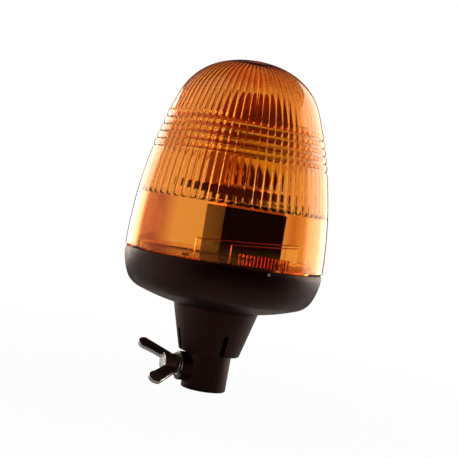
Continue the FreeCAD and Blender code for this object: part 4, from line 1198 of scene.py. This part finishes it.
class RoomShader(Nodes):
    # the world's and the floor's node trees

    def dot(self, vector, axis):
        return self.node("ShaderNodeVectorMath", {0: vector, 1: axis}, operation="DOT_PRODUCT").outputs["Value"]

    def span(self, value, low, high, first=0.0, last=1.0):
        return self.node("ShaderNodeMapRange", {0: value, 1: low, 2: high, 3: first, 4: last},
                         interpolation_type="SMOOTHSTEP").outputs[0]

    def horizon(self, around, rise, stops, top):
        # how bright the room is: the stops give it round the horizon, the top where it fades out
        share = self.math("ADD", self.math("DIVIDE", around, 2 * math.pi), 0.5)
        ramp = self.node("ShaderNodeValToRGB", {0: share})
        marks = ramp.color_ramp.elements
        marks[0].position, marks[1].position = 0.0, 1.0
        marks[0].color = (stops[0][1],) * 3 + (1,)
        marks[1].color = (stops[-1][1],) * 3 + (1,)
        for angle, amount in stops[1:-1]:
            marks.new((angle + 180) / 360).color = (amount, amount, amount, 1)
        low, high = (math.sin(math.radians(angle)) for angle in top)
        return self.math("MULTIPLY", ramp.outputs[0], self.span(rise, low, high, 1.0, 0.0))

    def tone(self, share, first, second):
        made = self.node("ShaderNodeMix", {"Factor": share}, data_type="RGBA")
        for socket in made.inputs:
            if socket.type == "RGBA":
                value = first if socket.identifier.startswith("A") else second
                self.feed(value if isinstance(value, bpy.types.NodeSocket) else (*value, 1), socket)
        return [socket for socket in made.outputs if socket.type == "RGBA"][0]

    def room(self, around, rise, back, windows, above, front):
        # white in the windows, elsewhere one colour on the camera's side and one on the far side
        bright = 0.0
        for name, top in windows.items():
            bright = self.math("MAXIMUM", self.horizon(around, rise, stageForm[name], stageForm[top]), bright)
        dark = self.tone(self.span(back, -0.35, 0.15), front, above)
        return self.node("ShaderNodeBackground", {"Color": self.tone(bright, dark, (1, 1, 1))}).outputs[0]

    def plain(self, strength):
        return self.node("ShaderNodeBackground", {"Color": (1, 1, 1, 1), "Strength": strength}).outputs[0]


def makeFloor():
    # a pale disc that turns to the backdrop's white away from the object
    form = stageForm
    material = bpy.data.materials.new("paleFloor")
    material.use_nodes = True
    tree = material.node_tree
    shader = RoomShader(tree)
    surface = tree.nodes["Principled BSDF"]
    surface.inputs["Base Color"].default_value = (*form["floorColour"], 1)
    surface.inputs["Roughness"].default_value = 0.9
    glow = shader.node("ShaderNodeEmission", {"Color": (1, 1, 1, 1)}).outputs[0]
    place = shader.node("ShaderNodeTexCoord").outputs["Object"]
    away = shader.node("ShaderNodeVectorMath", {0: place}, operation="LENGTH").outputs["Value"]
    white = shader.span(away, *form["whiteSpan"], form["nearWhite"], form["farWhite"])
    path = shader.node("ShaderNodeLightPath").outputs
    seen = shader.math("MAXIMUM", path["Is Camera Ray"], path["Is Transmission Ray"])
    mix = shader.blend(shader.math("MULTIPLY", seen, white), surface.outputs[0], glow)
    # reflections look past the floor's far part into the dark room
    far = shader.math("MULTIPLY", path["Is Glossy Ray"], shader.span(away, *form["mirroredFloor"]))
    clear = shader.node("ShaderNodeBsdfTransparent").outputs[0]
    shader.feed(shader.blend(far, mix, clear), tree.nodes["Material Output"].inputs["Surface"])
    work = bmesh.new()
    bmesh.ops.create_circle(work, cap_ends=True, segments=128, radius=form["floorRadius"],
                            matrix=Matrix.Translation((0, 0, -form["floorDrop"])))
    floor = meshObject("paleFloor", meshFrom(work, "paleFloor"))
    floor.data.materials.append(material)


def makeWorld():
    # plain white behind; a lit back wall and side panels in a dark room for the lens and the gloss
    form = stageForm
    world = bpy.data.worlds.new("whiteRoom")
    bpy.context.scene.world = world
    world.use_nodes = True
    world.node_tree.nodes.clear()
    shader = RoomShader(world.node_tree)
    turn = math.radians(form["backTurn"])
    place = shader.node("ShaderNodeTexCoord").outputs["Generated"]
    back = shader.dot(place, (math.cos(turn), math.sin(turn), 0))
    side = shader.dot(place, (math.sin(turn), -math.cos(turn), 0))
    rise = shader.dot(place, (0, 0, 1))
    around = shader.math("ARCTAN2", side, back)
    above = shader.tone(shader.span(side, -0.25, 0.35), form["darkRoom"], form["paleRoom"])
    through = shader.room(around, rise, back, {"seenThrough": "seenTop", "lowFront": "lowTop"}, above,
                          form["darkFront"])
    gloss = shader.room(around, rise, back, {"mirrored": "mirroredTop", "tallWindow": "tallTop"},
                        form["darkGloss"], form["darkGloss"])
    path = shader.node("ShaderNodeLightPath").outputs
    whole = shader.blend(path["Is Glossy Ray"], shader.plain(form["worldLight"]), gloss)
    whole = shader.blend(path["Is Transmission Ray"], whole, through)
    whole = shader.blend(path["Is Camera Ray"], whole, shader.plain(1.0))
    shader.node("ShaderNodeOutputWorld", {"Surface": whole})


def makeLights():
    for name, (size, power, place, seen) in stageForm["lamps"].items():
        data = bpy.data.lights.new(name, "AREA")
        data.shape = "RECTANGLE"
        data.size, data.size_y = size
        data.energy = power
        data.color = stageForm["lampColour"]
        light = bpy.data.objects.new(name, data)
        bpy.context.scene.collection.objects.link(light)
        light.location = place
        ray = Vector(stageForm["lampAim"]) - Vector(place)
        light.rotation_euler = ray.to_track_quat("-Z", "Y").to_euler()
        light.visible_glossy = seen
        light.visible_transmission = seen


cameraForm = {
    "azimuth": -25.0, "distance": 0.75, "height": 0.120, "aimHeight": 0.1068, "aimRight": 0.0001,
    "fieldWidth": 0.3014, "roll": 9.35, "sensorWidth": 36.0, "clip": (0.01, 50.0),
}


def makeCamera():
    form = cameraForm
    turn = math.radians(form["azimuth"])
    away = form["distance"]
    place = Vector((math.sin(turn) * away, -math.cos(turn) * away, form["height"]))
    right = Vector((math.cos(turn), math.sin(turn), 0))
    aim = Vector((0, 0, form["aimHeight"])) + right * form["aimRight"]
    forward = (aim - place).normalized()
    right = forward.cross(Vector((0, 0, 1))).normalized()
    up = right.cross(forward)
    roll = math.radians(form["roll"])
    rolledUp = up * math.cos(roll) - right * math.sin(roll)
    rolledRight = right * math.cos(roll) + up * math.sin(roll)
    data = bpy.data.cameras.new("studioCamera")
    data.sensor_width = form["sensorWidth"]
    data.lens = data.sensor_width * (aim - place).length / form["fieldWidth"]
    data.clip_start, data.clip_end = form["clip"]
    camera = bpy.data.objects.new("studioCamera", data)
    bpy.context.scene.collection.objects.link(camera)
    camera.matrix_world = Matrix((
        (rolledRight.x, rolledUp.x, -forward.x, place.x),
        (rolledRight.y, rolledUp.y, -forward.y, place.y),
        (rolledRight.z, rolledUp.z, -forward.z, place.z),
        (0, 0, 0, 1)))
    bpy.context.scene.camera = camera


makeFloor()
makeWorld()
makeLights()
makeCamera()
bpy.context.scene.view_settings.view_transform = "Standard"
print("stage ready")
